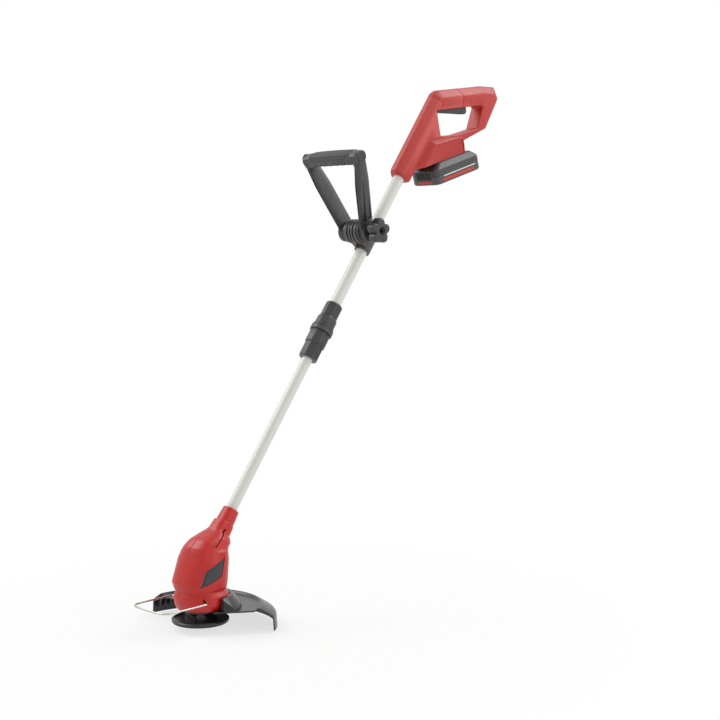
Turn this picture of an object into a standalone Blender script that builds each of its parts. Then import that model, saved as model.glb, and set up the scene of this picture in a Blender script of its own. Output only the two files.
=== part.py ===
"""Cordless string trimmer, modelled piece by piece at its real size.

Metres, +Z up. The origin is on the cutter's axis at the underside of its glide cap.
+X is the tool's left, -Y is forward (the plant guard's side) and +Y is towards the operator.
The pole leans back, so the pole's pieces hang on an empty whose +Z runs up the pole.
"""
from math import cos, pi, radians, sin, tau

import bmesh
import bpy
from mathutils import Matrix, Vector
from mathutils.geometry import tessellate_polygon

# Clearances
GAP = 0.0003
RUNNING = 0.0004
EASY = 0.0010

# Pole
POLE_TILT = 36.6
POLE_BASE_HEIGHT = 0.109
LOWER_TUBE_OD = 0.022
UPPER_TUBE_OD = 0.0252
TUBE_WALL = 0.0012
NECK_END = 0.134
LOWER_TUBE_SHOWING = 0.352
UPPER_TUBE_SHOWING = 0.336
TUBE_OVERLAP = 0.142
NECK_SEAT = 0.046
REAR_SEAT = 0.045
TUBE_STEPS = 24

# Pole lock
NUT_LENGTH = 0.075
SLEEVE_LENGTH = 0.0575
NUT_WIDTH = 0.045
NUT_RING_WIDTH = 0.0485
NUT_FLOOR = 0.008
SLEEVE_WIDTH = 0.037
SLEEVE_COLLAR_WIDTH = 0.0425
SPIGOT_LENGTH = 0.037
SPIGOT_WALL = 0.0022
COLLET_LENGTH = 0.048
COLLET_SLIT = 0.003

# Cutter
DISC_BOTTOM = 0.012
DISC_RADIUS = 0.055
DISC_RIM = 0.007
DISC_CROWN = 0.030
GLIDE_RADIUS = 0.011
HUB_RADIUS = 0.024
CAP_SEAT_RADIUS = 0.016
HUB_TOP = 0.0397
SHAFT_RADIUS = 0.0025
PEG_CIRCLE = 0.038
PEG_RADIUS = 0.0025
PEG_BEARING = 140.3
SLOT_FLOOR = 0.0018
SLOT_HEIGHT = 0.0044
BLADE_LENGTH = 0.083
BLADE_WIDTH = 0.010
BLADE_THICKNESS = 0.0028
BLADE_SWING = 58.0

# Cutting head
HOUSING_BOTTOM = 0.041
HOUSING_WALL = 0.0026
HOUSING_FLOOR = 0.0026
SKIRT_RADIUS = 0.054
BODY_HALF_WIDTH = 0.0505
SHAFT_OPENING = 0.012
NECK_WALL = 0.0047
MOTOR_RADIUS = 0.018
MOTOR_LENGTH = 0.057
MOTOR_CAP_LENGTH = 0.008
MOUNT_RADIUS = 0.034
MOUNT_THICKNESS = 0.002
SCREW_RADIUS = 0.0015
SCREW_HEAD_RADIUS = 0.0030
SCREW_HEAD_HEIGHT = 0.0018
BOSS_RADIUS = 0.0042
BADGE_THICKNESS = 0.0010

# Debris shield
SHIELD_RADIUS = 0.1475
SHIELD_THICKNESS = 0.0027
SHIELD_TOP = HOUSING_BOTTOM - GAP
SHIELD_LIP_BOTTOM = 0.0005
SHIELD_START = 77.0
SHIELD_END = 270.0
COLLAR_TOP = 0.073

# Plant guard
WIRE_RADIUS = 0.0018
WIRE_PIVOT_Y = -0.027
WIRE_PIVOT_Z = 0.0585
WIRE_REACH = 0.099
WIRE_SIDE_GAP = 0.0012
WIRE_BEND = 0.018

# Front handle
CLAMP_ABOVE_COLLAR = 0.166
CLAMP_WALL = 0.0045
CLAMP_LENGTH = 0.056
PIVOT_OFFSET = 0.035
EAR_RADIUS = 0.0255
EAR_HALF_WIDTH = 0.0160
CLAMP_SLIT = 0.003
WASHER_WIDTH = 0.0100
WASHER_RADIUS = 0.0240
ARM_THICKNESS = 0.0105
ARM_LEAN = 62.4
ARM_LENGTH = 0.1655
ARM_DEPTH = 0.032
ARM_WIDENING = 0.28
ARM_WIDEN_OVER = 0.045
ARM_CHAMFER = 0.0035
GRIP_HALF_LENGTH = 0.078
GRIP_HEIGHT = 0.025
PAD_HALF_LENGTH = 0.056
PAD_RISE = 0.0002
PAD_CROWN = 0.0012
CAP_RADIUS = 0.0120
CAP_THICKNESS = 0.0030
BOLT_RADIUS = 0.0030
KNOB_RADIUS = 0.0275
KNOB_NECK = 0.012
KNOB_THICKNESS = 0.020

# Rear handle, in the pole's own frame from the housing's lower end
BARREL_FRONT = 0.026
BARREL_REAR = 0.020
BARREL_HALF_WIDTH = 0.018
BARREL_LENGTH = 0.188
RIDGE_HALF_WIDTH = 0.008
RIDGE_CHAMFER = 0.018
GRIP_CHAMFER = 0.016
SHELL_WALL = 0.0028
GRIP_ANGLE = 45.0
GRIP_DEPTH = 0.0435
LOOP_HEIGHT = 0.0566
LOOP_LENGTH = 0.160
FOOT_HALF_WIDTH = 0.028
FOOT_BEHIND = 0.0443
FOOT_ABOVE = 0.0707

# Trigger
TRIGGER_LENGTH = 0.116
TRIGGER_WIDTH = 0.013
TRIGGER_DEPTH = 0.0065
TRIGGER_DROP_FRONT = 0.004
TRIGGER_DROP_REAR = 0.012
TRIGGER_PIN_RADIUS = 0.0015

# Battery
BATTERY_TILT = 53.0
BATTERY_LENGTH = 0.158
BATTERY_WIDTH = 0.076
BATTERY_HEIGHT = 0.046
BATTERY_SPLIT = 0.019
BATTERY_CORNER = 0.009
SHOULDER_DROP = 0.012
SLOPE_FRONT = 0.022
SLOPE_SIDE = 0.010
SLOPE_REAR = 0.012
BATTERY_WALL = 0.0022
RAIL_STEM_WIDTH = 0.037
RAIL_WIDTH = 0.047
RAIL_STEM_HEIGHT = 0.0043
RAIL_HEIGHT = 0.0048
RAIL_START = 0.030
RAIL_LENGTH = 0.068
RAIL_TRAVEL = 0.045
CELL_RADIUS = 0.0091
CELL_LENGTH = 0.065
CELL_COUNT = 5
STRAP_WIDTH = 0.007
STRAP_THICKNESS = 0.0003
TERMINAL_OFFSET = 0.0115
BLADE_HALF = 0.0004
LATCH_WIDTH = 0.046
LATCH_HEIGHT = 0.020
LATCH_DEPTH = 0.008
TRIM_THICKNESS = 0.0015

# Places worked out from the sizes above
LOWER_TUBE_RADIUS = LOWER_TUBE_OD / 2
UPPER_TUBE_RADIUS = UPPER_TUBE_OD / 2
LOCK_START = NECK_END + LOWER_TUBE_SHOWING
SLEEVE_START = LOCK_START + NUT_LENGTH + EASY / 2
LOCK_END = SLEEVE_START + SLEEVE_LENGTH
UPPER_TUBE_START = SLEEVE_START - 0.004
CLAMP_AT = LOCK_END + CLAMP_ABOVE_COLLAR
REAR_START = LOCK_END + UPPER_TUBE_SHOWING
UPPER_TUBE_END = REAR_START + REAR_SEAT
LOWER_TUBE_START = NECK_END - NECK_SEAT
LOWER_TUBE_END = UPPER_TUBE_START + TUBE_OVERLAP
# The battery hangs from the foot, so its height moves its underside only
BATTERY_OFFSET = FOOT_BEHIND + BATTERY_HEIGHT * sin(radians(BATTERY_TILT))
BATTERY_ABOVE_REAR = FOOT_ABOVE - BATTERY_HEIGHT * cos(radians(BATTERY_TILT))


def clear_scene():
    """Empties the scene that the script runs in."""
    for item in list(bpy.data.objects):
        bpy.data.objects.remove(item, do_unlink=True)


def finish(name, colour, roughness, metallic=0.0):
    """Makes one material: its colour, roughness and metallic value."""
    material = bpy.data.materials.new(name)
    material.use_nodes = True
    shader = material.node_tree.nodes["Principled BSDF"]
    shader.inputs["Base Color"].default_value = (*colour, 1.0)
    shader.inputs["Roughness"].default_value = roughness
    shader.inputs["Metallic"].default_value = metallic
    material.diffuse_color = (*colour, 1.0)
    return material


def empty(name, location=(0, 0, 0), tilt=0.0, turn=0.0, parent=None):
    """Adds a frame that pieces hang on, tilted about X and turned about Z, in degrees."""
    frame = bpy.data.objects.new(name, None)
    frame.empty_display_size = 0.03
    frame.location = location
    frame.rotation_euler = (radians(tilt), 0.0, radians(turn))
    frame.parent = parent
    bpy.context.collection.objects.link(frame)
    return frame


def piece(name, mesh, material, parent=None, location=(0, 0, 0), smooth=None):
    """Turns a bmesh into a named object with its material; smooth is a crease angle in degrees."""
    bmesh.ops.recalc_face_normals(mesh, faces=mesh.faces)
    data = bpy.data.meshes.new(name)
    mesh.to_mesh(data)
    mesh.free()
    if material is not None:
        data.materials.append(material)
    if smooth is not None:
        data.shade_smooth()
        data.set_sharp_from_angle(angle=radians(smooth))
    made = bpy.data.objects.new(name, data)
    made.parent = parent
    made.location = location
    bpy.context.collection.objects.link(made)
    return made


def tool(name, mesh, parent=None, location=(0, 0, 0)):
    """Makes a solid that only cuts or joins others, so it is hidden from renders."""
    made = piece(name, mesh, None, parent, location)
    made.hide_render = True
    made.display_type = "WIRE"
    return made


def boolean(target, other, operation):
    """Adds an exact Boolean to a piece."""
    modifier = target.modifiers.new(operation.title(), "BOOLEAN")
    modifier.operation = operation
    modifier.solver = "EXACT"
    modifier.object = other
    return target


def cut(target, *others):
    """Takes tools away from a piece."""
    for other in others:
        boolean(target, other, "DIFFERENCE")


def fuse(target, *others):
    """Joins tools onto a piece."""
    for other in others:
        boolean(target, other, "UNION")


def side(u, v, depth):
    """A point of an outline drawn in the side view (Y, Z), at a depth along X."""
    return Vector((depth, u, v))


def front(u, v, depth):
    """A point of an outline drawn in the front view (X, Z), at a depth along Y."""
    return Vector((u, depth, v))


def plan(u, v, depth):
    """A point of an outline drawn in plan (X, Y), at a height."""
    return Vector((u, v, depth))


def cap(mesh, vertices):
    """Closes a planar ring of vertices."""
    for corners in tessellate_polygon([[vertex.co for vertex in vertices]]):
        mesh.faces.new([vertices[index] for index in corners])


def add_loft(mesh, rings, cyclic=False):
    """Skins rings of equal count into one closed solid; cyclic joins the last ring to the first."""
    made = [[mesh.verts.new(point) for point in ring] for ring in rings]
    pairs = list(zip(made, made[1:]))
    if cyclic:
        pairs.append((made[-1], made[0]))
    for lower, upper in pairs:
        for index in range(len(lower)):
            following = (index + 1) % len(lower)
            mesh.faces.new((lower[index], lower[following], upper[following], upper[index]))
    if not cyclic:
        cap(mesh, made[0])
        cap(mesh, made[-1])
    return mesh


def loft(rings, cyclic=False):
    """A new bmesh of one lofted solid."""
    return add_loft(bmesh.new(), rings, cyclic)


def circle(radius, height=0.0, steps=TUBE_STEPS, flats=0, depth=0.0):
    """A ring about Z; flats cuts that many flat faces to a depth below the radius."""
    ring = []
    for index in range(steps):
        angle = tau * index / steps
        reach = radius
        if flats:
            off = (angle + pi / flats) % (tau / flats) - pi / flats
            reach = min(radius, (radius - depth) / cos(off))
        ring.append(Vector((reach * cos(angle), reach * sin(angle), height)))
    return ring


def add_turned(mesh, profile, steps=TUBE_STEPS, hollow=False, frame=Matrix()):
    """Turns (radius, height) points about Z: a solid with flat ends, or a hollow closed ring."""
    rings = [[frame @ point for point in circle(radius, height, steps)] for radius, height in profile]
    return add_loft(mesh, rings, hollow)


def turned(profile, steps=TUBE_STEPS, hollow=False, frame=Matrix()):
    """A new bmesh of one turned solid."""
    return add_turned(bmesh.new(), profile, steps, hollow, frame)


def along_x(start, y=0.0, z=0.0):
    """A frame whose Z runs along world X from a point."""
    return Matrix.Translation((start, y, z)) @ Matrix.Rotation(pi / 2, 4, "Y")


def add_rod_x(mesh, radius, x0, x1, y, z, steps=12):
    """Adds a round rod along X."""
    return add_turned(mesh, [(radius, 0.0), (radius, x1 - x0)], steps, frame=along_x(x0, y, z))


def box(x, y, z):
    """A new bmesh of one box from three (low, high) ranges."""
    ring = [(x[0], y[0]), (x[1], y[0]), (x[1], y[1]), (x[0], y[1])]
    return loft([[Vector((u, v, height)) for u, v in ring] for height in z])


def add_box(mesh, x, y, z):
    """Adds one box from three (low, high) ranges."""
    ring = [(x[0], y[0]), (x[1], y[0]), (x[1], y[1]), (x[0], y[1])]
    return add_loft(mesh, [[Vector((u, v, height)) for u, v in ring] for height in z])


def inset(points, amounts):
    """Moves each edge of an anticlockwise outline inwards by its own amount."""
    moved = []
    for index, point in enumerate(points):
        here = Vector(point)
        before = here - Vector(points[index - 1])
        after = Vector(points[(index + 1) % len(points)]) - here
        before.normalize()
        after.normalize()
        left = Vector((-before.y, before.x))
        right = Vector((-after.y, after.x))
        turn = before.dot(right)
        if abs(turn) < 1e-6:
            moved.append(here + right * (amounts[index - 1] + amounts[index]) / 2)
        else:
            run = (amounts[index] - amounts[index - 1] * left.dot(right)) / turn
            moved.append(here + left * amounts[index - 1] + before * run)
    return moved


def add_plate(mesh, outline, levels, view, chamfers=None, hole=None, hole_chamfer=0.0):
    """Extrudes an outline with an optional hole through levels of (depth, chamfer share, inset)."""
    chamfers = chamfers or [0.0] * len(outline)
    stacks = []
    for depth, share, extra in levels:
        amounts = [size * share + extra for size in chamfers]
        loops = [inset(outline, amounts)]
        if hole:
            loops.append(inset(hole, [-(hole_chamfer * share + extra)] * len(hole)))
        stacks.append([[mesh.verts.new(view(*point, depth)) for point in loop] for loop in loops])
    for lower, upper in zip(stacks, stacks[1:]):
        for low_loop, high_loop in zip(lower, upper):
            for index in range(len(low_loop)):
                following = (index + 1) % len(low_loop)
                mesh.faces.new(
                    (low_loop[index], low_loop[following], high_loop[following], high_loop[index])
                )
    for stack in (stacks[0], stacks[-1]):
        vertices = [vertex for loop in stack for vertex in loop]
        for corners in tessellate_polygon([[vertex.co for vertex in loop] for loop in stack]):
            mesh.faces.new([vertices[index] for index in corners])
    return mesh


def plate(outline, levels, view, chamfers=None, hole=None, hole_chamfer=0.0):
    """A new bmesh of one extruded outline."""
    return add_plate(bmesh.new(), outline, levels, view, chamfers, hole, hole_chamfer)


def keep_side(mesh, sign, gap=GAP / 2):
    """Cuts a closed mesh at the middle plane and keeps the half on one side of it."""
    geometry = mesh.verts[:] + mesh.edges[:] + mesh.faces[:]
    bmesh.ops.bisect_plane(
        mesh, geom=geometry, plane_co=(sign * gap, 0, 0), plane_no=(sign, 0, 0), clear_inner=True
    )
    border = [edge for edge in mesh.edges if edge.is_boundary]
    bmesh.ops.holes_fill(mesh, edges=border, sides=0)
    return mesh


def tube_along(name, points, radius, material, parent=None, sides=1):
    """A round wire along points, with filled ends; sides sets how round it is."""
    data = bpy.data.curves.new(name, "CURVE")
    data.dimensions = "3D"
    data.bevel_depth = radius
    data.bevel_resolution = sides
    data.use_fill_caps = True
    spline = data.splines.new("POLY")
    spline.points.add(len(points) - 1)
    for target, point in zip(spline.points, points):
        target.co = (*point, 1.0)
    data.materials.append(material)
    made = bpy.data.objects.new(name, data)
    made.parent = parent
    bpy.context.collection.objects.link(made)
    return made


def smooth_route(points, per_span):
    """Points on a smooth curve (Catmull-Rom) through a route."""
    guide = [Vector(point) for point in points]
    guide = [guide[0] * 2 - guide[1], *guide, guide[-1] * 2 - guide[-2]]
    route = []
    for index in range(1, len(guide) - 2):
        p0, p1, p2, p3 = guide[index - 1:index + 3]
        for step in range(per_span):
            t = step / per_span
            route.append(
                0.5 * (2 * p1 + (p2 - p0) * t + (2 * p0 - 5 * p1 + 4 * p2 - p3) * t * t
                       + (3 * p1 - p0 - 3 * p2 + p3) * t ** 3)
            )
    route.append(guide[-2])
    return route


clear_scene()

RED = finish("red_abs", (0.55, 0.035, 0.032), 0.38)
BLACK = finish("black_nylon", (0.045, 0.045, 0.047), 0.50)
SOFT = finish("soft_grip", (0.035, 0.035, 0.037), 0.75)
WHITE = finish("painted_steel_tube", (0.74, 0.74, 0.70), 0.30)
STEEL = finish("zinc_steel", (0.55, 0.56, 0.58), 0.32, 1.0)
WIRE = finish("sprung_steel_wire", (0.50, 0.49, 0.47), 0.28, 1.0)
COPPER = finish("tinned_copper", (0.60, 0.42, 0.25), 0.35, 1.0)
BOARD = finish("circuit_board", (0.02, 0.16, 0.06), 0.45)
CELL = finish("cell_sleeve", (0.05, 0.20, 0.45), 0.40)
PVC = finish("black_pvc", (0.02, 0.02, 0.02), 0.55)
BLADE = finish("blade_nylon", (0.60, 0.09, 0.05), 0.45)

POLE = empty("pole_frame", (0, 0, POLE_BASE_HEIGHT), tilt=-POLE_TILT)
LOCK = empty("lock_frame", (0, 0, LOCK_START), parent=POLE)
CLAMP = empty("clamp_frame", (0, 0, CLAMP_AT), parent=POLE)
AUX = empty("front_handle_tilt", (0, -PIVOT_OFFSET, 0), tilt=ARM_LEAN, parent=CLAMP)
REAR = empty("rear_frame", (0, 0, REAR_START), parent=POLE)
BATTERY = empty(
    "battery_frame", (0, BATTERY_OFFSET, BATTERY_ABOVE_REAR), tilt=BATTERY_TILT, parent=REAR
)
GUARD = empty("plant_guard_frame", (0, WIRE_PIVOT_Y, WIRE_PIVOT_Z))


def pole_point(b, a):
    """World (y, z) of a point in the pole's frame: b behind the axis, a up the pole."""
    tilt = radians(POLE_TILT)
    return (b * cos(tilt) + a * sin(tilt), POLE_BASE_HEIGHT + a * cos(tilt) - b * sin(tilt))


def head_sections():
    """Cross-sections of the motor housing: centre (y, z), half width, half depth, tilt, power."""
    neck = LOWER_TUBE_RADIUS + NECK_WALL
    skirt, body = SKIRT_RADIUS, BODY_HALF_WIDTH
    sections = [
        ((0.002, HOUSING_BOTTOM), skirt - 0.006, skirt - 0.007, 0.0, 2.0),
        ((0.002, HOUSING_BOTTOM + 0.010), skirt - 0.001, skirt - 0.003, 0.0, 2.0),
        ((0.002, HOUSING_BOTTOM + 0.016), skirt, skirt - 0.002, 0.0, 2.1),
        ((0.001, HOUSING_BOTTOM + 0.029), skirt - 0.001, skirt - 0.003, 0.0, 2.2),
        ((0.000, HOUSING_BOTTOM + 0.033), body, body - 0.001, 0.0, 2.3),
        ((-0.001, HOUSING_BOTTOM + 0.052), body + 0.0005, body, 0.0, 2.4),
        ((0.0045, HOUSING_BOTTOM + 0.075), body, body - 0.0045, 0.0, 2.4),
        ((0.0085, HOUSING_BOTTOM + 0.092), body - 0.0005, body - 0.0075, 0.0, 2.4),
        ((0.012, HOUSING_BOTTOM + 0.108), body - 0.0045, body - 0.011, 0.0, 2.4),
        (pole_point(-0.0142, 0.0461), body - 0.009, body - 0.0118, POLE_TILT * 0.18, 2.4),
        (pole_point(-0.0115, 0.0570), body - 0.0135, body - 0.0155, POLE_TILT * 0.43, 2.4),
        (pole_point(-0.0049, 0.0691), body - 0.0175, body - 0.0224, POLE_TILT * 0.69, 2.4),
        (pole_point(0.0, 0.0785), neck + 0.0140, neck + 0.0068, POLE_TILT, 2.5),
        (pole_point(0.0, NECK_END - 0.0500), neck + 0.0056, neck + 0.0056, POLE_TILT, 2.6),
        (pole_point(0.0, NECK_END - 0.0300), neck + 0.0036, neck + 0.0036, POLE_TILT, 2.6),
        (pole_point(0.0, NECK_END - 0.0290), neck + 0.0016, neck + 0.0016, POLE_TILT, 2.3),
        (pole_point(0.0, NECK_END), neck, neck, POLE_TILT, 2.2),
    ]
    return sections


def head_rings(shrink, steps=32, bottom=0):
    """Rings of the motor housing, shrunk inwards by a wall, from a given section up."""
    rings = []
    for (y, z), half_x, half_y, tilt, power in head_sections()[bottom:]:
        lean = radians(tilt)
        ring = []
        for index in range(steps):
            angle = tau * index / steps
            reach_x = (half_x - shrink) * signed_power(cos(angle), 2 / power)
            reach_y = (half_y - shrink) * signed_power(sin(angle), 2 / power)
            ring.append(Vector((reach_x, y + reach_y * cos(lean), z - reach_y * sin(lean))))
        rings.append(ring)
    return rings


def signed_power(value, power):
    """A power that keeps the sign, for superellipses."""
    return abs(value) ** power * (1 if value >= 0 else -1)


HEAD_SCREWS = (
    (-0.036, HOUSING_BOTTOM + 0.020),
    (0.038, HOUSING_BOTTOM + 0.034),
    (-0.026, HOUSING_BOTTOM + 0.094),
    (0.040, HOUSING_BOTTOM + 0.108),
)
SCREW_DEPTH = 0.012
SHELL_HALF = 0.060


def head_cavity():
    """The space inside the motor housing, with the pole's bore through the neck."""
    rings = head_rings(HOUSING_WALL)[:13]
    floor = HOUSING_BOTTOM + HOUSING_FLOOR
    rings[0] = [Vector((point.x, point.y, floor)) for point in rings[0]]
    cavity = tool("head_cavity", loft(rings))
    bore = turned([(LOWER_TUBE_RADIUS + GAP, LOWER_TUBE_START - EASY),
                   (LOWER_TUBE_RADIUS + GAP, NECK_END + 0.01)])
    return cavity, tool("neck_bore", bore, POLE)


def badge_outline(margin):
    """The slanted badge on the side of the head, in the side view."""
    corners = [(-0.032, 0.089), (0.0145, 0.099), (0.022, 0.139), (-0.0195, 0.120)]
    return inset(corners, [-margin] * len(corners))


def badge_blank(name, margin, shrink_out, shrink_in):
    """A slab of the head's own skin between two depths, within the badge outline."""
    levels = [(-0.08, 0.0, 0.0), (0.08, 0.0, 0.0)]
    slab = tool(name, plate(badge_outline(margin), levels, side))
    boolean(slab, tool(name + "_skin", loft(head_rings(shrink_out))), "INTERSECT")
    boolean(slab, tool(name + "_core", loft(head_rings(shrink_in))), "DIFFERENCE")
    return slab


def build_head():
    """Motor housing shells, their screws, the motor, the badges and the mount plate."""
    cavity, bore = head_cavity()
    shaft_hole = tool("shaft_hole", turned([(SHAFT_OPENING, 0.03), (SHAFT_OPENING, 0.05)]))
    badge_pocket = badge_blank("badge_pocket", GAP, -0.004, BADGE_THICKNESS + GAP)
    wire_holes = bmesh.new()
    add_rod_x(wire_holes, WIRE_RADIUS + RUNNING, -0.08, 0.08, WIRE_PIVOT_Y, WIRE_PIVOT_Z)
    wire_holes = tool("wire_holes", wire_holes)
    vents = tool("vent_slots", vent_slots())
    for sign, name in ((1, "left"), (-1, "right")):
        shell = piece("motor_housing_" + name, keep_side(loft(head_rings(0.0)), sign), RED, smooth=35)
        bosses = bmesh.new()
        holes = bmesh.new()
        for y, z in HEAD_SCREWS:
            ends = sorted((sign * GAP / 2, sign * SHELL_HALF))
            add_rod_x(bosses, BOSS_RADIUS, *ends, y, z)
            add_screw_hole(holes, sign, y, z)
        cut(shell, cavity)
        fuse(shell, head_bosses(name, bosses))
        cut(shell, bore, tool("head_screw_holes_" + name, holes), shaft_hole, wire_holes)
        cut(shell, badge_pocket, vents, tool("shield_screw_holes_" + name, shield_screw_holes(sign)))
    for sign, name in ((1, "left"), (-1, "right")):
        build_badge(sign, name)
    build_screws("housing_screw", HEAD_SCREWS)


def head_bosses(name, bosses):
    """Screw bosses, trimmed to the housing's outer skin."""
    made = tool("head_bosses_" + name, bosses)
    boolean(made, tool("head_boss_skin_" + name, loft(head_rings(HOUSING_WALL / 2))), "INTERSECT")
    return made


def vent_slots():
    """Three stepped slots high on each side of the head, cut through the wall."""
    slots = bmesh.new()
    for index in range(3):
        y = 0.0080 + 0.0085 * index
        z = 0.1655 + 0.0038 * index
        add_box(slots, (-0.08, 0.08), (y, y + 0.0045), (z, z + 0.0030))
    return slots


def build_badge(sign, name):
    """A bare badge plate let into the housing's side."""
    plate_half = box(sorted((sign * 0.01, sign * 0.07)), (-0.05, 0.08), (0.05, 0.15))
    badge = piece("badge_" + name, plate_half, BLACK, smooth=35)
    boolean(badge, badge_blank("badge_blank_" + name, 0.0, 0.0, BADGE_THICKNESS), "INTERSECT")


def add_screw_hole(holes, sign, y, z):
    """Adds a blind hole in the left shell, or a counterbored one through the right shell."""
    hole, head = SCREW_RADIUS + GAP, SCREW_HEAD_RADIUS + GAP
    profile = [(hole, -0.01), (hole, SCREW_DEPTH + EASY)]
    if sign < 0:
        profile = [(head, -0.08), (head, -SCREW_DEPTH), (hole, -SCREW_DEPTH), (hole, 0.01)]
    add_turned(holes, profile, 12, frame=along_x(0.0, y, z))


def build_screws(name, places, parent=None):
    """Pan-head screws along X from the right side."""
    head_at = -SCREW_DEPTH - GAP
    for index, (y, z) in enumerate(places):
        profile = [
            (SCREW_HEAD_RADIUS * 0.7, head_at - SCREW_HEAD_HEIGHT),
            (SCREW_HEAD_RADIUS, head_at - SCREW_HEAD_HEIGHT * 0.5),
            (SCREW_HEAD_RADIUS, head_at),
            (SCREW_RADIUS, head_at),
            (SCREW_RADIUS, SCREW_DEPTH),
        ]
        screw = turned(profile, 10, frame=along_x(0.0))
        piece(f"{name}_{index + 1}", screw, STEEL, parent, (0, y, z), smooth=40)


def build_motor():
    """The direct-current motor that stands on a plate on the housing's floor."""
    plate_bottom = HOUSING_BOTTOM + HOUSING_FLOOR + GAP
    plate_top = plate_bottom + MOUNT_THICKNESS
    boss = SHAFT_RADIUS + 0.004
    mount = [(boss + GAP, plate_bottom), (MOUNT_RADIUS, plate_bottom),
             (MOUNT_RADIUS, plate_top), (boss + GAP, plate_top)]
    piece("motor_mount", turned(mount, hollow=True), STEEL, smooth=30)
    base = plate_top + GAP
    top = base + MOTOR_LENGTH
    bore = SHAFT_RADIUS + RUNNING
    can = [
        (boss, plate_bottom), (boss, base), (MOTOR_RADIUS - 0.001, base), (MOTOR_RADIUS, base + 0.001),
        (MOTOR_RADIUS, top), (bore, top), (bore, plate_bottom),
    ]
    piece("motor_can", turned(can, hollow=True), STEEL, smooth=30)
    shaft_top = top - 0.004
    shaft_bottom = DISC_BOTTOM + SLOT_FLOOR + 0.001
    shaft = turned([(SHAFT_RADIUS, shaft_bottom), (SHAFT_RADIUS, shaft_top)], 16)
    piece("motor_shaft", shaft, STEEL, smooth=30)
    cap_mesh = turned([(MOTOR_RADIUS, top + GAP), (MOTOR_RADIUS - 0.0005, top + MOTOR_CAP_LENGTH)])
    end_cap = piece("motor_end_cap", cap_mesh, PVC, smooth=30)
    tabs = bmesh.new()
    for x in (-0.008, 0.008):
        add_box(tabs, (x - 0.0025, x + 0.0025), (-0.0004, 0.0004),
                (top + MOTOR_CAP_LENGTH / 2, top + MOTOR_CAP_LENGTH + 0.006))
    fuse(end_cap, tool("motor_tabs", tabs))


def build_cutter():
    """The cutter disc with its slot and peg, the glide cap under it, and the swinging blade."""
    bearing = radians(PEG_BEARING)
    peg_x, peg_y = PEG_CIRCLE * cos(bearing), PEG_CIRCLE * sin(bearing)
    low = DISC_BOTTOM
    floor = low + SLOT_FLOOR
    slot_top = floor + SLOT_HEIGHT
    bore = SHAFT_RADIUS + GAP / 2
    profile = [
        (CAP_SEAT_RADIUS, low), (DISC_RADIUS - 0.003, low), (DISC_RADIUS, low + 0.0022),
        (DISC_RADIUS, low + DISC_RIM), (DISC_RADIUS - 0.004, low + DISC_RIM + 0.001),
        (HUB_RADIUS + 0.001, DISC_CROWN), (HUB_RADIUS, HUB_TOP), (bore, HUB_TOP),
        (bore, low + 0.004), (CAP_SEAT_RADIUS, low + 0.004),
    ]
    disc = piece("cutter_disc", turned(profile, 32, hollow=True), BLACK, smooth=25)
    slot = plate(blade_fan(), [(floor, 0, 0), (slot_top, 0, 0)], plan)
    slot = tool("blade_slot", slot, location=(peg_x, peg_y, 0))
    slot.rotation_euler = (0, 0, bearing)
    peg = turned([(PEG_RADIUS, floor - 0.001), (PEG_RADIUS, slot_top + 0.001)], 12)
    cut(disc, slot)
    fuse(disc, tool("blade_peg", peg, location=(peg_x, peg_y, 0)))
    pocket = turned([(0.013, slot_top + 0.002), (0.016, 0.05)], 20)
    front_pocket = tool("disc_pocket", pocket, location=(-peg_x, peg_y * -1.0, 0))
    cut(disc, front_pocket)
    cap_radius = CAP_SEAT_RADIUS - GAP
    cap_profile = [(GLIDE_RADIUS - 0.001, 0.0), (GLIDE_RADIUS, 0.001), (cap_radius, low),
                   (cap_radius, floor + 0.0007)]
    piece("cutter_cap", turned(cap_profile), BLACK, smooth=30)
    build_blade(peg_x, peg_y)


def blade_fan():
    """The space that the blade sweeps round its peg, in plan, out past the disc's rim."""
    room = BLADE_WIDTH / 2 + EASY
    swing = radians(BLADE_SWING)
    reach = DISC_RADIUS
    upper = [(-room * sin(swing), room * cos(swing)),
             (reach * cos(swing) - room * sin(swing), reach * sin(swing) + room * cos(swing))]
    lower = [(x, -y) for x, y in reversed(upper)]
    return [(-room * 1.15, 0.0), lower[1], lower[0], (reach, lower[0][1]), (reach, upper[1][1]),
            upper[1], upper[0]]


def build_blade(peg_x, peg_y):
    """A flat plastic blade with an eye round the peg, pointing straight out."""
    half = BLADE_WIDTH / 2
    eye = [(half * cos(radians(angle)), half * sin(radians(angle))) for angle in range(90, 271, 30)]
    outline = [*eye, (BLADE_LENGTH - 0.012, -half * 0.9), (BLADE_LENGTH, half * 0.2),
               (BLADE_LENGTH - 0.003, half * 0.8)]
    bottom = DISC_BOTTOM + SLOT_FLOOR + (SLOT_HEIGHT - BLADE_THICKNESS) / 2
    levels = [(bottom, 0, 0), (bottom + BLADE_THICKNESS, 0, 0)]
    ring = circle(PEG_RADIUS + RUNNING, 0.0, 12)
    hole = [(point.x, point.y) for point in ring]
    blade = piece("cutting_blade", plate(outline, levels, plan, hole=hole), BLADE)
    blade.location = (peg_x, peg_y, 0)
    blade.rotation_euler = (0, 0, radians(PEG_BEARING))


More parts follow.
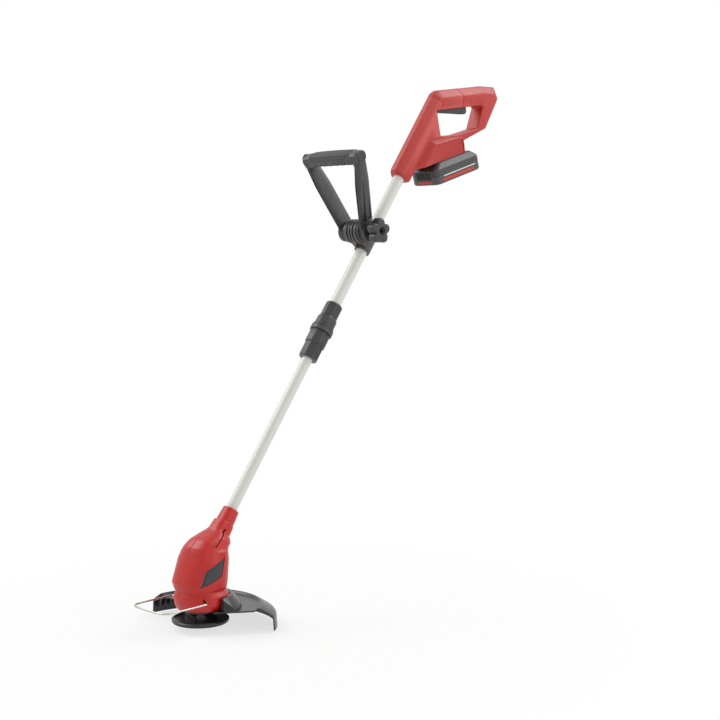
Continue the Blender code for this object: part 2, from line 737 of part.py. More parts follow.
def shield_section(start_radius):
    """The shield's radial section as a closed (radius, height) outline."""
    top = SHIELD_TOP
    thick = SHIELD_THICKNESS
    line = [
        (start_radius, top), (SHIELD_RADIUS - 0.0355, top), (SHIELD_RADIUS - 0.031, top + 0.0045),
        (SHIELD_RADIUS - 0.026, top + 0.0035), (SHIELD_RADIUS - 0.006, top - 0.0095),
        (SHIELD_RADIUS - 0.002, top - 0.014), (SHIELD_RADIUS, SHIELD_LIP_BOTTOM),
    ]
    under = [(SHIELD_RADIUS - thick, SHIELD_LIP_BOTTOM)]
    for radius, height in reversed(line[:-1]):
        drop = thick if radius < SHIELD_RADIUS - 0.005 else thick * 1.4
        shift = 0.0 if radius < SHIELD_RADIUS - 0.010 else thick * 0.7
        under.append((radius - shift, height - drop))
    return line + under


def sweep_section(section, start, end, count):
    """Sweeps a (radius, height) outline about Z between two bearings from the front, in degrees."""
    rings = []
    for index in range(count + 1):
        bearing = radians(start + (end - start) * index / count)
        rings.append([Vector((r * sin(bearing), -r * cos(bearing), z)) for r, z in section])
    return loft(rings)


SHIELD_SCREWS = ((0.030, 0.026), (-0.030, 0.026))


def shield_screw_holes(sign):
    """Blind holes under the housing for the shield's screws."""
    holes = bmesh.new()
    for x, y in SHIELD_SCREWS:
        if x * sign > 0:
            hole = [(SCREW_RADIUS + GAP, 0.03), (SCREW_RADIUS + GAP, HOUSING_BOTTOM + 0.006)]
            add_turned(holes, hole, 10, frame=Matrix.Translation((x, y, 0)))
    return holes


def build_shield():
    """The debris shield: plate, ridge and lip, with a collar that hugs the housing's rear."""
    shield = piece(
        "debris_shield",
        sweep_section(shield_section(HUB_RADIUS + 0.003), SHIELD_START, SHIELD_END, 22), BLACK, smooth=30,
    )
    inner = SKIRT_RADIUS + 0.0025
    collar = [
        (inner, SHIELD_TOP - 0.001), (inner + 0.023, SHIELD_TOP - 0.001), (inner + 0.0205, 0.049),
        (inner + 0.006, COLLAR_TOP), (inner, COLLAR_TOP),
    ]
    fuse(shield, tool("shield_collar", sweep_section(collar, SHIELD_START + 16, SHIELD_END - 8, 18)))
    slope = [(-0.10, COLLAR_TOP - 0.030), (-0.10, 0.2), (0.3, 0.2), (0.3, COLLAR_TOP + 0.12)]
    slope_cut = plate(slope[::-1], [(-0.2, 0, 0), (0.2, 0, 0)], side)
    cut(shield, tool("shield_slope", slope_cut))
    edge = [(0.053, -0.012), (0.090, 0.036), (0.100, 0.052), (0.120, 0.077), (0.20, 0.14), (0.20, -0.10)]
    edge_cut = plate(edge[::-1], [(-0.05, 0, 0), (0.2, 0, 0)], plan)
    cut(shield, tool("shield_edge", edge_cut))
    through = bmesh.new()
    top = HOUSING_BOTTOM + 0.005
    under = SHIELD_TOP - SHIELD_THICKNESS - GAP
    for (x, y), name in zip(SHIELD_SCREWS, ("left", "right")):
        hole = [(SCREW_RADIUS + GAP, 0.03), (SCREW_RADIUS + GAP, 0.05)]
        add_turned(through, hole, 10, frame=Matrix.Translation((x, y, 0)))
        profile = [
            (SCREW_HEAD_RADIUS, under - SCREW_HEAD_HEIGHT), (SCREW_HEAD_RADIUS, under),
            (SCREW_RADIUS, under), (SCREW_RADIUS, top),
        ]
        piece("shield_screw_" + name, turned(profile, 10), STEEL, None, (x, y, 0), smooth=40)
    cut(shield, tool("shield_holes", through))


def build_plant_guard():
    """A bow of spring wire whose ends hook into the housing's sides and fold on them."""
    half = SKIRT_RADIUS * 0.89 + WIRE_SIDE_GAP + WIRE_RADIUS
    hook = half - 0.0085
    route = [
        (hook, 0.0, 0.0), (half - 0.003, 0.0, 0.0), (half, -0.003, 0.0),
        (half, -WIRE_REACH * 0.4, 0.0), (half - 0.001, -WIRE_REACH + WIRE_BEND, 0.0),
        (half - WIRE_BEND * 0.35, -WIRE_REACH + WIRE_BEND * 0.3, 0.0),
        (half - WIRE_BEND, -WIRE_REACH, 0.0), (0.0, -WIRE_REACH - 0.002, 0.0),
    ]
    mirrored = [(-x, y, z) for x, y, z in reversed(route[:-1])]
    tube_along("plant_guard_wire", smooth_route(route + mirrored, 3), WIRE_RADIUS, WIRE, GUARD, 2)


def build_tubes():
    """The lower tube slides inside the upper tube, with a coiled lead inside."""
    for name, radius, low, high in (
        ("lower_tube", LOWER_TUBE_RADIUS, LOWER_TUBE_START, LOWER_TUBE_END),
        ("upper_tube", UPPER_TUBE_RADIUS, UPPER_TUBE_START, UPPER_TUBE_END),
    ):
        bore = radius - TUBE_WALL
        profile = [(radius, low), (radius, high), (bore, high), (bore, low)]
        piece(name, turned(profile, hollow=True), WHITE, POLE, smooth=30)
    wire = 0.0016
    turns, per_turn = 12, 9
    reach = LOWER_TUBE_RADIUS - TUBE_WALL - wire - EASY / 2
    start = LOWER_TUBE_START + 0.012
    pitch = (LOWER_TUBE_END - start - 0.02) / turns
    points = []
    for index in range(turns * per_turn + 1):
        angle = tau * index / per_turn
        points.append((reach * cos(angle), reach * sin(angle), start + pitch * index / per_turn))
    tube_along("coiled_lead", points, wire, PVC, POLE, 1)


def add_shape(mesh, outer, inner=None):
    """Adds a hollow or solid part from (radius, height, flats, depth) rings, outside then inside."""
    rings = [circle(radius, height, TUBE_STEPS, flats, depth) for radius, height, flats, depth in outer]
    if inner:
        rings += [circle(radius, height) for radius, height in inner]
    return add_loft(mesh, rings, cyclic=bool(inner))


def build_pole_lock():
    """The lock nut pulls a split collet on to the lower tube; the sleeve sits on the upper tube."""
    nut_half, ring_half = NUT_WIDTH / 2, NUT_RING_WIDTH / 2
    lower_half = nut_half - 0.002
    spigot = LOWER_TUBE_RADIUS + 0.0033 + SPIGOT_WALL
    nut_bore = spigot + RUNNING
    outer = [
        (lower_half - 0.0015, 0.0, 8, 0.0006), (lower_half, 0.002, 8, 0.0012),
        (lower_half, 0.032, 8, 0.0014), (nut_half, 0.034, 8, 0.0008),
        (nut_half, 0.062, 8, 0.0012), (ring_half, 0.064, 0, 0.0),
        (ring_half, NUT_LENGTH - 0.002, 0, 0.0), (ring_half - 0.0015, NUT_LENGTH, 0, 0.0),
    ]
    spigot_start = NUT_LENGTH + EASY / 2 - SPIGOT_LENGTH
    inner = [
        (nut_bore, NUT_LENGTH), (nut_bore, NUT_FLOOR),
        (LOWER_TUBE_RADIUS + RUNNING, NUT_FLOOR), (LOWER_TUBE_RADIUS + RUNNING, 0.0),
    ]
    piece("lock_nut", add_shape(bmesh.new(), outer, inner), BLACK, LOCK, smooth=20)
    base = NUT_LENGTH + EASY / 2
    collar, sleeve = SLEEVE_COLLAR_WIDTH / 2, SLEEVE_WIDTH / 2
    tube_bore = UPPER_TUBE_RADIUS + GAP
    collet_bore = spigot - SPIGOT_WALL
    tube_stop = UPPER_TUBE_START - LOCK_START - GAP
    outer = [
        (spigot, spigot_start, 0, 0.0), (spigot, base, 0, 0.0), (collar + 0.001, base, 0, 0.0),
        (collar + 0.001, base + 0.004, 0, 0.0), (collar, base + 0.006, 0, 0.0),
        (collar, base + 0.022, 6, 0.0012), (sleeve + 0.0005, base + 0.025, 6, 0.0010),
        (sleeve, base + SLEEVE_LENGTH - 0.002, 6, 0.0012),
        (sleeve - 0.0015, base + SLEEVE_LENGTH, 6, 0.0),
    ]
    inner = [
        (tube_bore, base + SLEEVE_LENGTH), (tube_bore, tube_stop),
        (collet_bore, tube_stop), (collet_bore, spigot_start),
    ]
    piece("lock_sleeve", add_shape(bmesh.new(), outer, inner), BLACK, LOCK, smooth=20)
    low = NUT_FLOOR + GAP
    high = min(low + COLLET_LENGTH, tube_stop - GAP)
    outer_radius = collet_bore - GAP
    bore = LOWER_TUBE_RADIUS + GAP
    profile = [(bore, low), (outer_radius - 0.001, low), (outer_radius, low + 0.008),
               (outer_radius, high), (bore, high)]
    collet = piece("lock_collet", turned(profile, hollow=True), PVC, LOCK, smooth=30)
    half = COLLET_SLIT / 2
    cut(collet, tool("collet_slit", box((-half, half), (0.0, 0.03), (-0.01, 0.08)), LOCK))


def build_clamp():
    """The clamp round the upper tube, its toothed washers, the bolt and the star knob."""
    outer = UPPER_TUBE_RADIUS + CLAMP_WALL
    half = CLAMP_LENGTH / 2
    body = piece("clamp_body", turned([(outer - 0.001, -half), (outer, -half + 0.002),
                                       (outer, half - 0.002), (outer - 0.001, half)]),
                 BLACK, CLAMP, smooth=30)
    ears = bmesh.new()
    add_rod_x(ears, EAR_RADIUS, -EAR_HALF_WIDTH, EAR_HALF_WIDTH, -PIVOT_OFFSET, 0.0, 24)
    fuse(body, tool("clamp_ears", ears, CLAMP))
    web = box((-EAR_HALF_WIDTH + 0.001, EAR_HALF_WIDTH - 0.001), (-PIVOT_OFFSET, -0.004),
              (-EAR_RADIUS + 0.003, EAR_RADIUS - 0.003))
    fuse(body, tool("clamp_web", web, CLAMP))
    bore = turned([(UPPER_TUBE_RADIUS + RUNNING, -0.1), (UPPER_TUBE_RADIUS + RUNNING, 0.1)])
    slit = box((-CLAMP_SLIT / 2, CLAMP_SLIT / 2), (-PIVOT_OFFSET - 0.05, 0.0), (-0.1, 0.1))
    eye = bmesh.new()
    add_rod_x(eye, BOLT_RADIUS + GAP, -0.05, 0.05, -PIVOT_OFFSET, 0.0)
    cut(body, tool("clamp_bore", bore, CLAMP), tool("clamp_slit", slit, CLAMP))
    cut(body, tool("clamp_eye", eye, CLAMP))
    for sign, name in ((1, "left"), (-1, "right")):
        washer = bmesh.new()
        start, width = EAR_HALF_WIDTH + GAP, WASHER_WIDTH
        hole = BOLT_RADIUS + GAP
        groove = WASHER_RADIUS - 0.0025
        profile = [
            (hole, 0.0), (WASHER_RADIUS, 0.0), (WASHER_RADIUS, width * 0.25), (groove, width * 0.35),
            (groove, width * 0.42), (WASHER_RADIUS, width * 0.52), (WASHER_RADIUS, width * 0.75),
            (groove, width * 0.85), (groove, width), (hole, width),
        ]
        frame = Matrix.Translation((0, -PIVOT_OFFSET, 0)) @ Matrix.Rotation(sign * pi / 2, 4, "Y")
        frame = frame @ Matrix.Translation((0, 0, start))
        add_turned(washer, profile, 24, True, frame)
        piece("toothed_washer_" + name, washer, BLACK, CLAMP, smooth=30)
    arm_face = EAR_HALF_WIDTH + GAP + WASHER_WIDTH + GAP + ARM_THICKNESS
    tip = arm_face + KNOB_NECK + KNOB_THICKNESS * 0.55
    head = 0.0045
    profile = [
        (0.0062, -arm_face - GAP - head), (0.0062, -arm_face - GAP), (BOLT_RADIUS, -arm_face - GAP),
        (BOLT_RADIUS, tip),
    ]
    bolt_frame = along_x(0.0, -PIVOT_OFFSET, 0.0)
    piece("clamp_bolt", turned(profile, 12, frame=bolt_frame), STEEL, CLAMP, smooth=40)
    build_knob(arm_face + GAP)


def build_knob(face):
    """A five-lobed knob on the bolt, with a brass nut moulded in."""
    knob_frame = empty("knob_frame", (face, -PIVOT_OFFSET, 0.0), parent=CLAMP)
    knob_frame.rotation_euler = (0, pi / 2, 0)
    steps, lobes = 40, 5
    rings = []
    for height, share in ((KNOB_NECK, 0.90), (KNOB_NECK + 0.002, 1.0),
                          (KNOB_NECK + KNOB_THICKNESS - 0.004, 1.0),
                          (KNOB_NECK + KNOB_THICKNESS, 0.86)):
        ring = []
        for index in range(steps):
            angle = tau * index / steps
            wave = 0.5 + 0.5 * cos(lobes * angle)
            reach = KNOB_RADIUS * share * (0.60 + 0.40 * wave ** 0.6)
            ring.append(Vector((reach * cos(angle), reach * sin(angle), height)))
        rings.append(ring)
    knob = piece("clamp_knob", loft(rings), BLACK, knob_frame, smooth=35)
    neck = turned([(0.0095, 0.0), (0.0120, KNOB_NECK + 0.001)], 20)
    fuse(knob, tool("knob_neck", neck, knob_frame))
    nut_radius = BOLT_RADIUS + 0.0026
    nut_low, nut_high = KNOB_NECK * 0.3, KNOB_NECK + KNOB_THICKNESS * 0.45
    past = KNOB_NECK + KNOB_THICKNESS + 0.01
    bore = turned([(BOLT_RADIUS + RUNNING, -0.01), (BOLT_RADIUS + RUNNING, past)], 16)
    seat = turned([(nut_radius + GAP, nut_low), (nut_radius + GAP, past)], 16)
    cut(knob, tool("knob_bore", bore, knob_frame), tool("knob_seat", seat, knob_frame))
    profile = [(BOLT_RADIUS + GAP, nut_low + GAP), (nut_radius, nut_low + GAP),
               (nut_radius, nut_high), (BOLT_RADIUS + GAP, nut_high)]
    piece("knob_nut", turned(profile, 16, hollow=True), COPPER, knob_frame, smooth=30)


def handle_outline():
    """Half of the front handle's outline in its own front view, from the pivot round to the middle."""
    inner = EAR_HALF_WIDTH + GAP + WASHER_WIDTH + GAP
    outer = inner + ARM_THICKNESS
    top = ARM_LENGTH + GRIP_HEIGHT / 2
    under = ARM_LENGTH - GRIP_HEIGHT / 2
    knee = under - ARM_WIDEN_OVER
    corner = (GRIP_HALF_LENGTH - 0.003, under - 0.002)
    share = (knee - 0.018) / (corner[1] - 0.018)
    right = [
        (outer, 0.0), (outer, 0.018), (outer + (corner[0] - outer) * share, knee), corner,
        (GRIP_HALF_LENGTH, ARM_LENGTH - 0.006), (GRIP_HALF_LENGTH, top - 0.007),
        (GRIP_HALF_LENGTH - 0.006, top - 0.0010), (GRIP_HALF_LENGTH * 0.45, top + 0.0012),
    ]
    finger = GRIP_HALF_LENGTH * 0.22
    notches = []
    for index in range(6):
        x = -finger * 2.5 + finger * index
        notches += [(x - 0.0035, under), (x - 0.0010, under + 0.0022), (x + 0.0020, under)]
    arm_x = GRIP_HALF_LENGTH - 0.003 - ARM_THICKNESS - 0.002
    share = (knee - 0.019) / (under - 0.004 - 0.019)
    inner_side = [(arm_x, under), (arm_x + 0.001, under - 0.004),
                  (inner + 0.001 + (arm_x - inner) * share, knee), (inner + 0.001, 0.019), (inner, 0.0)]
    mirrored = [(-x, z) for x, z in reversed(inner_side)]
    left = [(-x, z) for x, z in reversed(right)]
    return right + left + mirrored + notches + inner_side


def build_front_handle():
    """The D handle: frame, soft pad on top and an end cap each side."""
    outline = handle_outline()
    half = ARM_DEPTH / 2
    outer_edges = 15
    chamfers = [ARM_CHAMFER if index < outer_edges else 0.0018 for index in range(len(outline))]
    levels = [(-half, 1.0, 0), (-half + ARM_CHAMFER, 0.35, 0), (-half + ARM_CHAMFER * 2.2, 0, 0),
              (half - ARM_CHAMFER * 2.2, 0, 0), (half - ARM_CHAMFER, 0.35, 0), (half, 1.0, 0)]
    blank = plate(outline, levels, front, chamfers)
    under = ARM_LENGTH - GRIP_HEIGHT / 2
    for vertex in blank.verts:
        # Below the grip the arms widen fore and aft
        share = min(max((under - vertex.co.z) / ARM_WIDEN_OVER, 0.0), 1.0)
        vertex.co.y *= 1 + ARM_WIDENING * share
    frame = piece("front_handle_frame", blank, BLACK, AUX, smooth=30)
    inner = EAR_HALF_WIDTH + GAP + WASHER_WIDTH + GAP
    eyes = bmesh.new()
    for sign in (1, -1):
        ends = sorted((sign * inner, sign * (inner + ARM_THICKNESS)))
        add_rod_x(eyes, half * (1 + ARM_WIDENING) + 0.001, *ends, 0.0, 0.0, 24)
    holes = bmesh.new()
    add_rod_x(holes, BOLT_RADIUS + RUNNING, -0.06, 0.06, 0.0, 0.0, 16)
    fuse(frame, tool("arm_eyes", eyes, AUX))
    pad_bottom = ARM_LENGTH + GRIP_HEIGHT * 0.12
    trench = box((-PAD_HALF_LENGTH - GAP, PAD_HALF_LENGTH + GAP), (-0.03, 0.03), (pad_bottom - GAP, 0.3))
    caps = bmesh.new()
    for sign in (1, -1):
        ends = sorted((sign * (GRIP_HALF_LENGTH - CAP_THICKNESS * 0.5), sign * 0.1))
        add_rod_x(caps, CAP_RADIUS - 0.002 + GAP, *ends, 0.0, ARM_LENGTH + 0.001, 20)
    cut(frame, tool("arm_holes", holes, AUX), tool("pad_trench", trench, AUX), tool("cap_seats", caps, AUX))
    pad_half = ARM_DEPTH / 2 - 0.0005
    crest = ARM_LENGTH + GRIP_HEIGHT / 2 + PAD_RISE
    arch = [(-pad_half, pad_bottom), (pad_half, pad_bottom), (pad_half, pad_bottom + 0.006),
            (pad_half - 0.004, crest - 0.0035), (pad_half * 0.4, crest), (-pad_half * 0.4, crest),
            (-pad_half + 0.004, crest - 0.0035), (-pad_half, pad_bottom + 0.006)]
    rings = []
    for share in (-1.0, -0.6, 0.0, 0.6, 1.0):
        crown = PAD_CROWN * (1 - share * share)
        x = PAD_HALF_LENGTH * share
        rings.append([Vector((x, y, z + (crown if z > pad_bottom else 0.0))) for y, z in arch])
    piece("grip_pad", loft(rings), SOFT, AUX, smooth=40)
    for sign, name in ((1, "left"), (-1, "right")):
        start = GRIP_HALF_LENGTH - CAP_THICKNESS * 0.5 + GAP
        spigot = CAP_RADIUS - 0.002
        profile = [
            (spigot, start), (spigot, GRIP_HALF_LENGTH + GAP), (CAP_RADIUS, GRIP_HALF_LENGTH + GAP),
            (CAP_RADIUS - 0.001, GRIP_HALF_LENGTH + CAP_THICKNESS),
        ]
        turn = Matrix.Translation((0, 0, ARM_LENGTH + 0.001)) @ Matrix.Rotation(sign * pi / 2, 4, "Y")
        piece("grip_cap_" + name, turned(profile, 20, frame=turn), BLACK, AUX, smooth=30)


GRIP_START = (BARREL_REAR - 0.024, BARREL_LENGTH)
PIN_AT = (0.0085, 0.0070)
BUTTON_AT = (0.0260, 0.0165)
HOLE_FLARE = 0.0015
REAR_SCREW_REACH = 0.0165
FOOT_SCREW_REACH = 0.0262


def grip_point(s, t):
    """A point of the side view in the rear frame: s along the grip's underside, t above it."""
    angle = radians(GRIP_ANGLE)
    return (GRIP_START[0] + s * cos(angle) - t * sin(angle),
            GRIP_START[1] + s * sin(angle) + t * cos(angle))


def battery_point(u, v):
    """A point of the side view in the rear frame: u along the battery, v above its underside."""
    angle = radians(BATTERY_TILT)
    return (BATTERY_OFFSET + u * cos(angle) - v * sin(angle),
            BATTERY_ABOVE_REAR + u * sin(angle) + v * cos(angle))


def loop_hole():
    """The hand opening's outline, anticlockwise."""
    return [grip_point(s, t) for s, t in (
        (0.0, 0.0), (0.0057, -LOOP_HEIGHT), (LOOP_LENGTH * 0.45, -LOOP_HEIGHT - 0.002),
        (LOOP_LENGTH - 0.021, -LOOP_HEIGHT + 0.006), (LOOP_LENGTH + 0.006, -0.004), (LOOP_LENGTH, 0.0),
    )]


def loop_outline(bottom):
    """The barrel and hand loop's outline, anticlockwise, with the chamfer of each edge."""
    neck = grip_point(LOOP_LENGTH * 0.473, -LOOP_HEIGHT - 0.0219)
    return [
        ((-BARREL_FRONT, bottom), 0.0),
        ((BARREL_REAR, bottom), 0.002),
        ((BARREL_REAR, 0.062), 0.002),
        ((neck[0] - 0.010, neck[1] - 0.021), 0.002),
        (neck, 0.003),
        (grip_point(LOOP_LENGTH + 0.0217, -LOOP_HEIGHT + 0.0036), RIDGE_CHAMFER - 0.006),
        (grip_point(LOOP_LENGTH + 0.0769, 0.0106), GRIP_CHAMFER),
        (grip_point(LOOP_LENGTH + 0.0649, GRIP_DEPTH - 0.0053), GRIP_CHAMFER),
        (grip_point(LOOP_LENGTH + 0.0140, GRIP_DEPTH), GRIP_CHAMFER),
        (grip_point(0.0209, GRIP_DEPTH), RIDGE_CHAMFER - 0.002),
        ((-BARREL_FRONT, grip_point(0.0209, GRIP_DEPTH)[1] - 0.0145), RIDGE_CHAMFER),
    ]


def foot_outline(bottom):
    """The battery foot's outline, anticlockwise, with the chamfer of each edge."""
    top = -LOOP_HEIGHT - 0.003
    return [
        (battery_point(-0.029, bottom), 0.0),
        (battery_point(0.127, bottom), 0.003),
        (grip_point(LOOP_LENGTH * 0.478, -LOOP_HEIGHT - 0.0217), 0.003),
        (grip_point(LOOP_LENGTH * 0.450, top - 0.002), 0.004),
        (grip_point(0.0070, top), 0.010),
        ((BARREL_REAR - 0.004, 0.118), 0.014),
        ((BARREL_REAR - 0.004, 0.040), 0.003),
    ]


def split_outline(pairs):
    """Splits (point, chamfer) pairs into two lists."""
    return [point for point, _ in pairs], [size for _, size in pairs]


def half_plate(pairs, sign, knee, half_width, extra=0.0, start=GAP / 2):
    """Half of a chamfered plate on one side of the middle plane; extra shrinks it for a cavity."""
    outline, chamfers = split_outline(pairs)
    share = (half_width - extra - knee) / (half_width - knee)
    levels = [(sign * start, 0, extra), (sign * knee, 0, extra), (sign * (half_width - extra), share, extra)]
    return plate(outline, levels, side, chamfers)


def hole_tool(name, margin, flare=0.0):
    """A prism through the hand opening, grown by a margin and flared at the outer faces."""
    face = BARREL_HALF_WIDTH
    levels = [(-face - flare * 2, 0, -margin - flare * 3), (-face + flare, 0, -margin)]
    levels += [(-depth, share, extra) for depth, share, extra in reversed(levels)]
    return tool(name, plate(loop_hole(), levels, side), REAR)


def rear_screws():
    """Where the rear housing's screws go: (y, z, boss reach) in the rear frame."""
    return (
        (0.0125, 0.136, REAR_SCREW_REACH),
        (*grip_point(LOOP_LENGTH - 0.025, 0.020), REAR_SCREW_REACH),
        (*grip_point(LOOP_LENGTH + 0.022, -0.009), REAR_SCREW_REACH),
        (*battery_point(0.110, BATTERY_HEIGHT + 0.025), FOOT_SCREW_REACH),
    )


def rail_channel():
    """The battery's channel in the foot: an entry window, then lips that hold the rails."""
    channel = bmesh.new()
    top = BATTERY_HEIGHT + RAIL_STEM_HEIGHT + RAIL_HEIGHT + RUNNING
    flange = RAIL_WIDTH / 2 + RUNNING
    stem = RAIL_STEM_WIDTH / 2 + RUNNING
    end = RAIL_START + RAIL_LENGTH + EASY
    window_start = RAIL_START - RAIL_TRAVEL - EASY * 1.5
    lip_start = RAIL_START + RAIL_LENGTH - RAIL_TRAVEL - EASY
    ring = [
        (-flange, BATTERY_HEIGHT - 0.006), (flange, BATTERY_HEIGHT - 0.006), (flange, top), (-flange, top),
    ]
    add_loft(channel, [[Vector((x, u, v)) for x, v in ring] for u in (window_start, lip_start)])
    lip = BATTERY_HEIGHT + RAIL_STEM_HEIGHT - RUNNING
    ring = [
        (-stem, BATTERY_HEIGHT - 0.006), (stem, BATTERY_HEIGHT - 0.006), (stem, lip), (flange, lip),
        (flange, top), (-flange, top), (-flange, lip), (-stem, lip),
    ]
    lips = loft([[Vector((x, u, v)) for x, v in ring] for u in (lip_start - 0.012, end)])
    lips = tool("rail_lips_space", lips, BATTERY)
    window = tool("rail_window", channel, BATTERY)
    fuse(window, lips)
    return window


def build_rear_housing():
    """The rear handle's two shells: barrel, hand loop and battery foot."""
    wall = SHELL_WALL
    hole = hole_tool("loop_hole", 0.0, HOLE_FLARE)
    island = hole_tool("loop_wall", wall)
    foot_bottom = BATTERY_HEIGHT + GAP
    foot_roof = BATTERY_HEIGHT + RAIL_STEM_HEIGHT + RAIL_HEIGHT + 0.002
    seat = turned([
        (UPPER_TUBE_RADIUS + GAP, -0.01), (UPPER_TUBE_RADIUS + GAP, REAR_SEAT + GAP),
        (UPPER_TUBE_RADIUS - 0.004, REAR_SEAT + GAP), (UPPER_TUBE_RADIUS - 0.004, REAR_SEAT + 0.014),
    ])
    seat = tool("tube_seat", seat, REAR)
    channel = rail_channel()
    slot = [grip_point(0.0006, -0.004), grip_point(TRIGGER_LENGTH + 0.0035, -0.004),
            grip_point(TRIGGER_LENGTH + 0.0035, wall + 0.002), grip_point(0.0006, wall + 0.002)]
    slot_half = TRIGGER_WIDTH / 2 + RUNNING
    slot = tool("trigger_slot", plate(slot, [(-slot_half, 0, 0), (slot_half, 0, 0)], side), REAR)
    socket = terminal_socket()
    button_hole = bmesh.new()
    add_rod_x(button_hole, 0.0055 + RUNNING, -0.03, -0.005, *grip_point(*BUTTON_AT), 20)
    for sign, name in ((1, "left"), (-1, "right")):
        outer = half_plate(loop_outline(0.0), sign, RIDGE_HALF_WIDTH, BARREL_HALF_WIDTH)
        shell = piece("rear_housing_" + name, outer, RED, REAR, smooth=25)
        knee = BARREL_HALF_WIDTH - 0.001
        foot = half_plate(foot_outline(foot_bottom), sign, knee, FOOT_HALF_WIDTH)
        fuse(shell, tool("foot_" + name, foot, REAR))
        cut(shell, hole)
        inner = half_plate(loop_outline(REAR_SEAT + 0.010), sign, RIDGE_HALF_WIDTH, BARREL_HALF_WIDTH,
                           wall, -0.002)
        foot_inner = half_plate(foot_outline(foot_roof), sign, knee, FOOT_HALF_WIDTH, wall, -0.002)
        bosses = bmesh.new()
        holes = bmesh.new()
        for y, z, reach in rear_screws():
            add_rod_x(bosses, BOSS_RADIUS, *sorted((sign * GAP / 2, sign * reach)), y, z)
            add_screw_hole(holes, sign, y, z)
        cavity = tool("loop_cavity_" + name, inner, REAR)
        fuse(cavity, tool("foot_cavity_" + name, foot_inner, REAR))
        cut(cavity, island)
        cut(shell, cavity)
        fuse(shell, tool("rear_bosses_" + name, bosses, REAR))
        cut(shell, tool("rear_screw_holes_" + name, holes, REAR), seat, channel, slot, socket)
        if sign < 0:
            cut(shell, tool("button_hole", button_hole, REAR))
    build_screws("rear_screw", [place[:2] for place in rear_screws()], REAR)


def terminal_socket():
    """The pocket at the rear end of the battery's channel that holds the terminal block."""
    end = RAIL_START + RAIL_LENGTH
    low = BATTERY_HEIGHT + 0.0018
    high = BATTERY_HEIGHT + RAIL_STEM_HEIGHT + RAIL_HEIGHT + RUNNING
    return tool("terminal_socket", box((-0.0183, 0.0183), (end, end + 0.0095), (low, high)), BATTERY)


def build_terminals():
    """The terminal block with four blades that reach into the battery."""
    end = RAIL_START + RAIL_LENGTH
    low = BATTERY_HEIGHT + 0.0018 + GAP
    high = BATTERY_HEIGHT + RAIL_STEM_HEIGHT + RAIL_HEIGHT
    block = box((-0.018, 0.018), (end + EASY + GAP, end + 0.0092), (low, high))
    block = piece("terminal_block", block, PVC, BATTERY)
    slots = bmesh.new()
    half, slot_half = BLADE_HALF, BLADE_HALF + GAP
    for sign, name in ((1, "left"), (-1, "right")):
        x = sign * TERMINAL_OFFSET
        blade = box((x - half, x + half), (end - 0.016, end + 0.0075), (low + GAP * 2, high - GAP * 2))
        piece("terminal_blade_" + name, blade, COPPER, BATTERY)
        add_box(slots, (x - slot_half, x + slot_half), (end - 0.01, end + 0.0075 + GAP),
                (low + GAP, high - GAP))
    cut(block, tool("terminal_slots", slots, BATTERY))


def build_trigger():
    """The long trigger, its pin and torsion spring, the switch and the lock-off button."""
    start = 0.0015
    end = start + TRIGGER_LENGTH
    top = PIN_AT[1] + 0.0043
    profile = [
        (start, -TRIGGER_DROP_FRONT), (end - 0.003, -TRIGGER_DROP_REAR), (end, -TRIGGER_DROP_REAR + 0.003),
        (end, TRIGGER_DEPTH), (0.020, TRIGGER_DEPTH), (0.0135, top), (0.0040, top), (start, top - 0.003),
    ]
    angle = radians(GRIP_ANGLE)
    outline = []
    for s, t in profile:
        ds, dt = s - PIN_AT[0], t - PIN_AT[1]
        outline.append((ds * cos(angle) - dt * sin(angle), ds * sin(angle) + dt * cos(angle)))
    half = TRIGGER_WIDTH / 2
    levels = [(-half, 1, 0), (-half + 0.002, 0, 0), (half - 0.002, 0, 0), (half, 1, 0)]
    chamfers = [0.0015, 0.0015, 0.001, 0.0, 0.0, 0.0, 0.0, 0.0]
    ring = [(point.x, point.y) for point in circle(TRIGGER_PIN_RADIUS + RUNNING, 0.0, 12)]
    pivot = (0, *grip_point(*PIN_AT))
    trigger = plate(outline, levels, side, chamfers, ring)
    piece("trigger", trigger, BLACK, REAR, pivot, smooth=30)
    reach = BARREL_HALF_WIDTH - SHELL_WALL - GAP
    pin = bmesh.new()
    add_rod_x(pin, TRIGGER_PIN_RADIUS, -reach, reach, 0.0, 0.0)
    piece("trigger_pin", pin, STEEL, REAR, pivot, smooth=30)
    turns, per_turn = 3, 10
    coil = []
    for index in range(turns * per_turn + 1):
        turn = tau * index / per_turn
        x = half + 0.0012 + 0.0035 * index / (turns * per_turn)
        coil.append((x, pivot[1] + 0.0026 * cos(turn), pivot[2] + 0.0026 * sin(turn)))
    tube_along("trigger_spring", coil, 0.0004, STEEL, REAR, 1)
    build_switch()


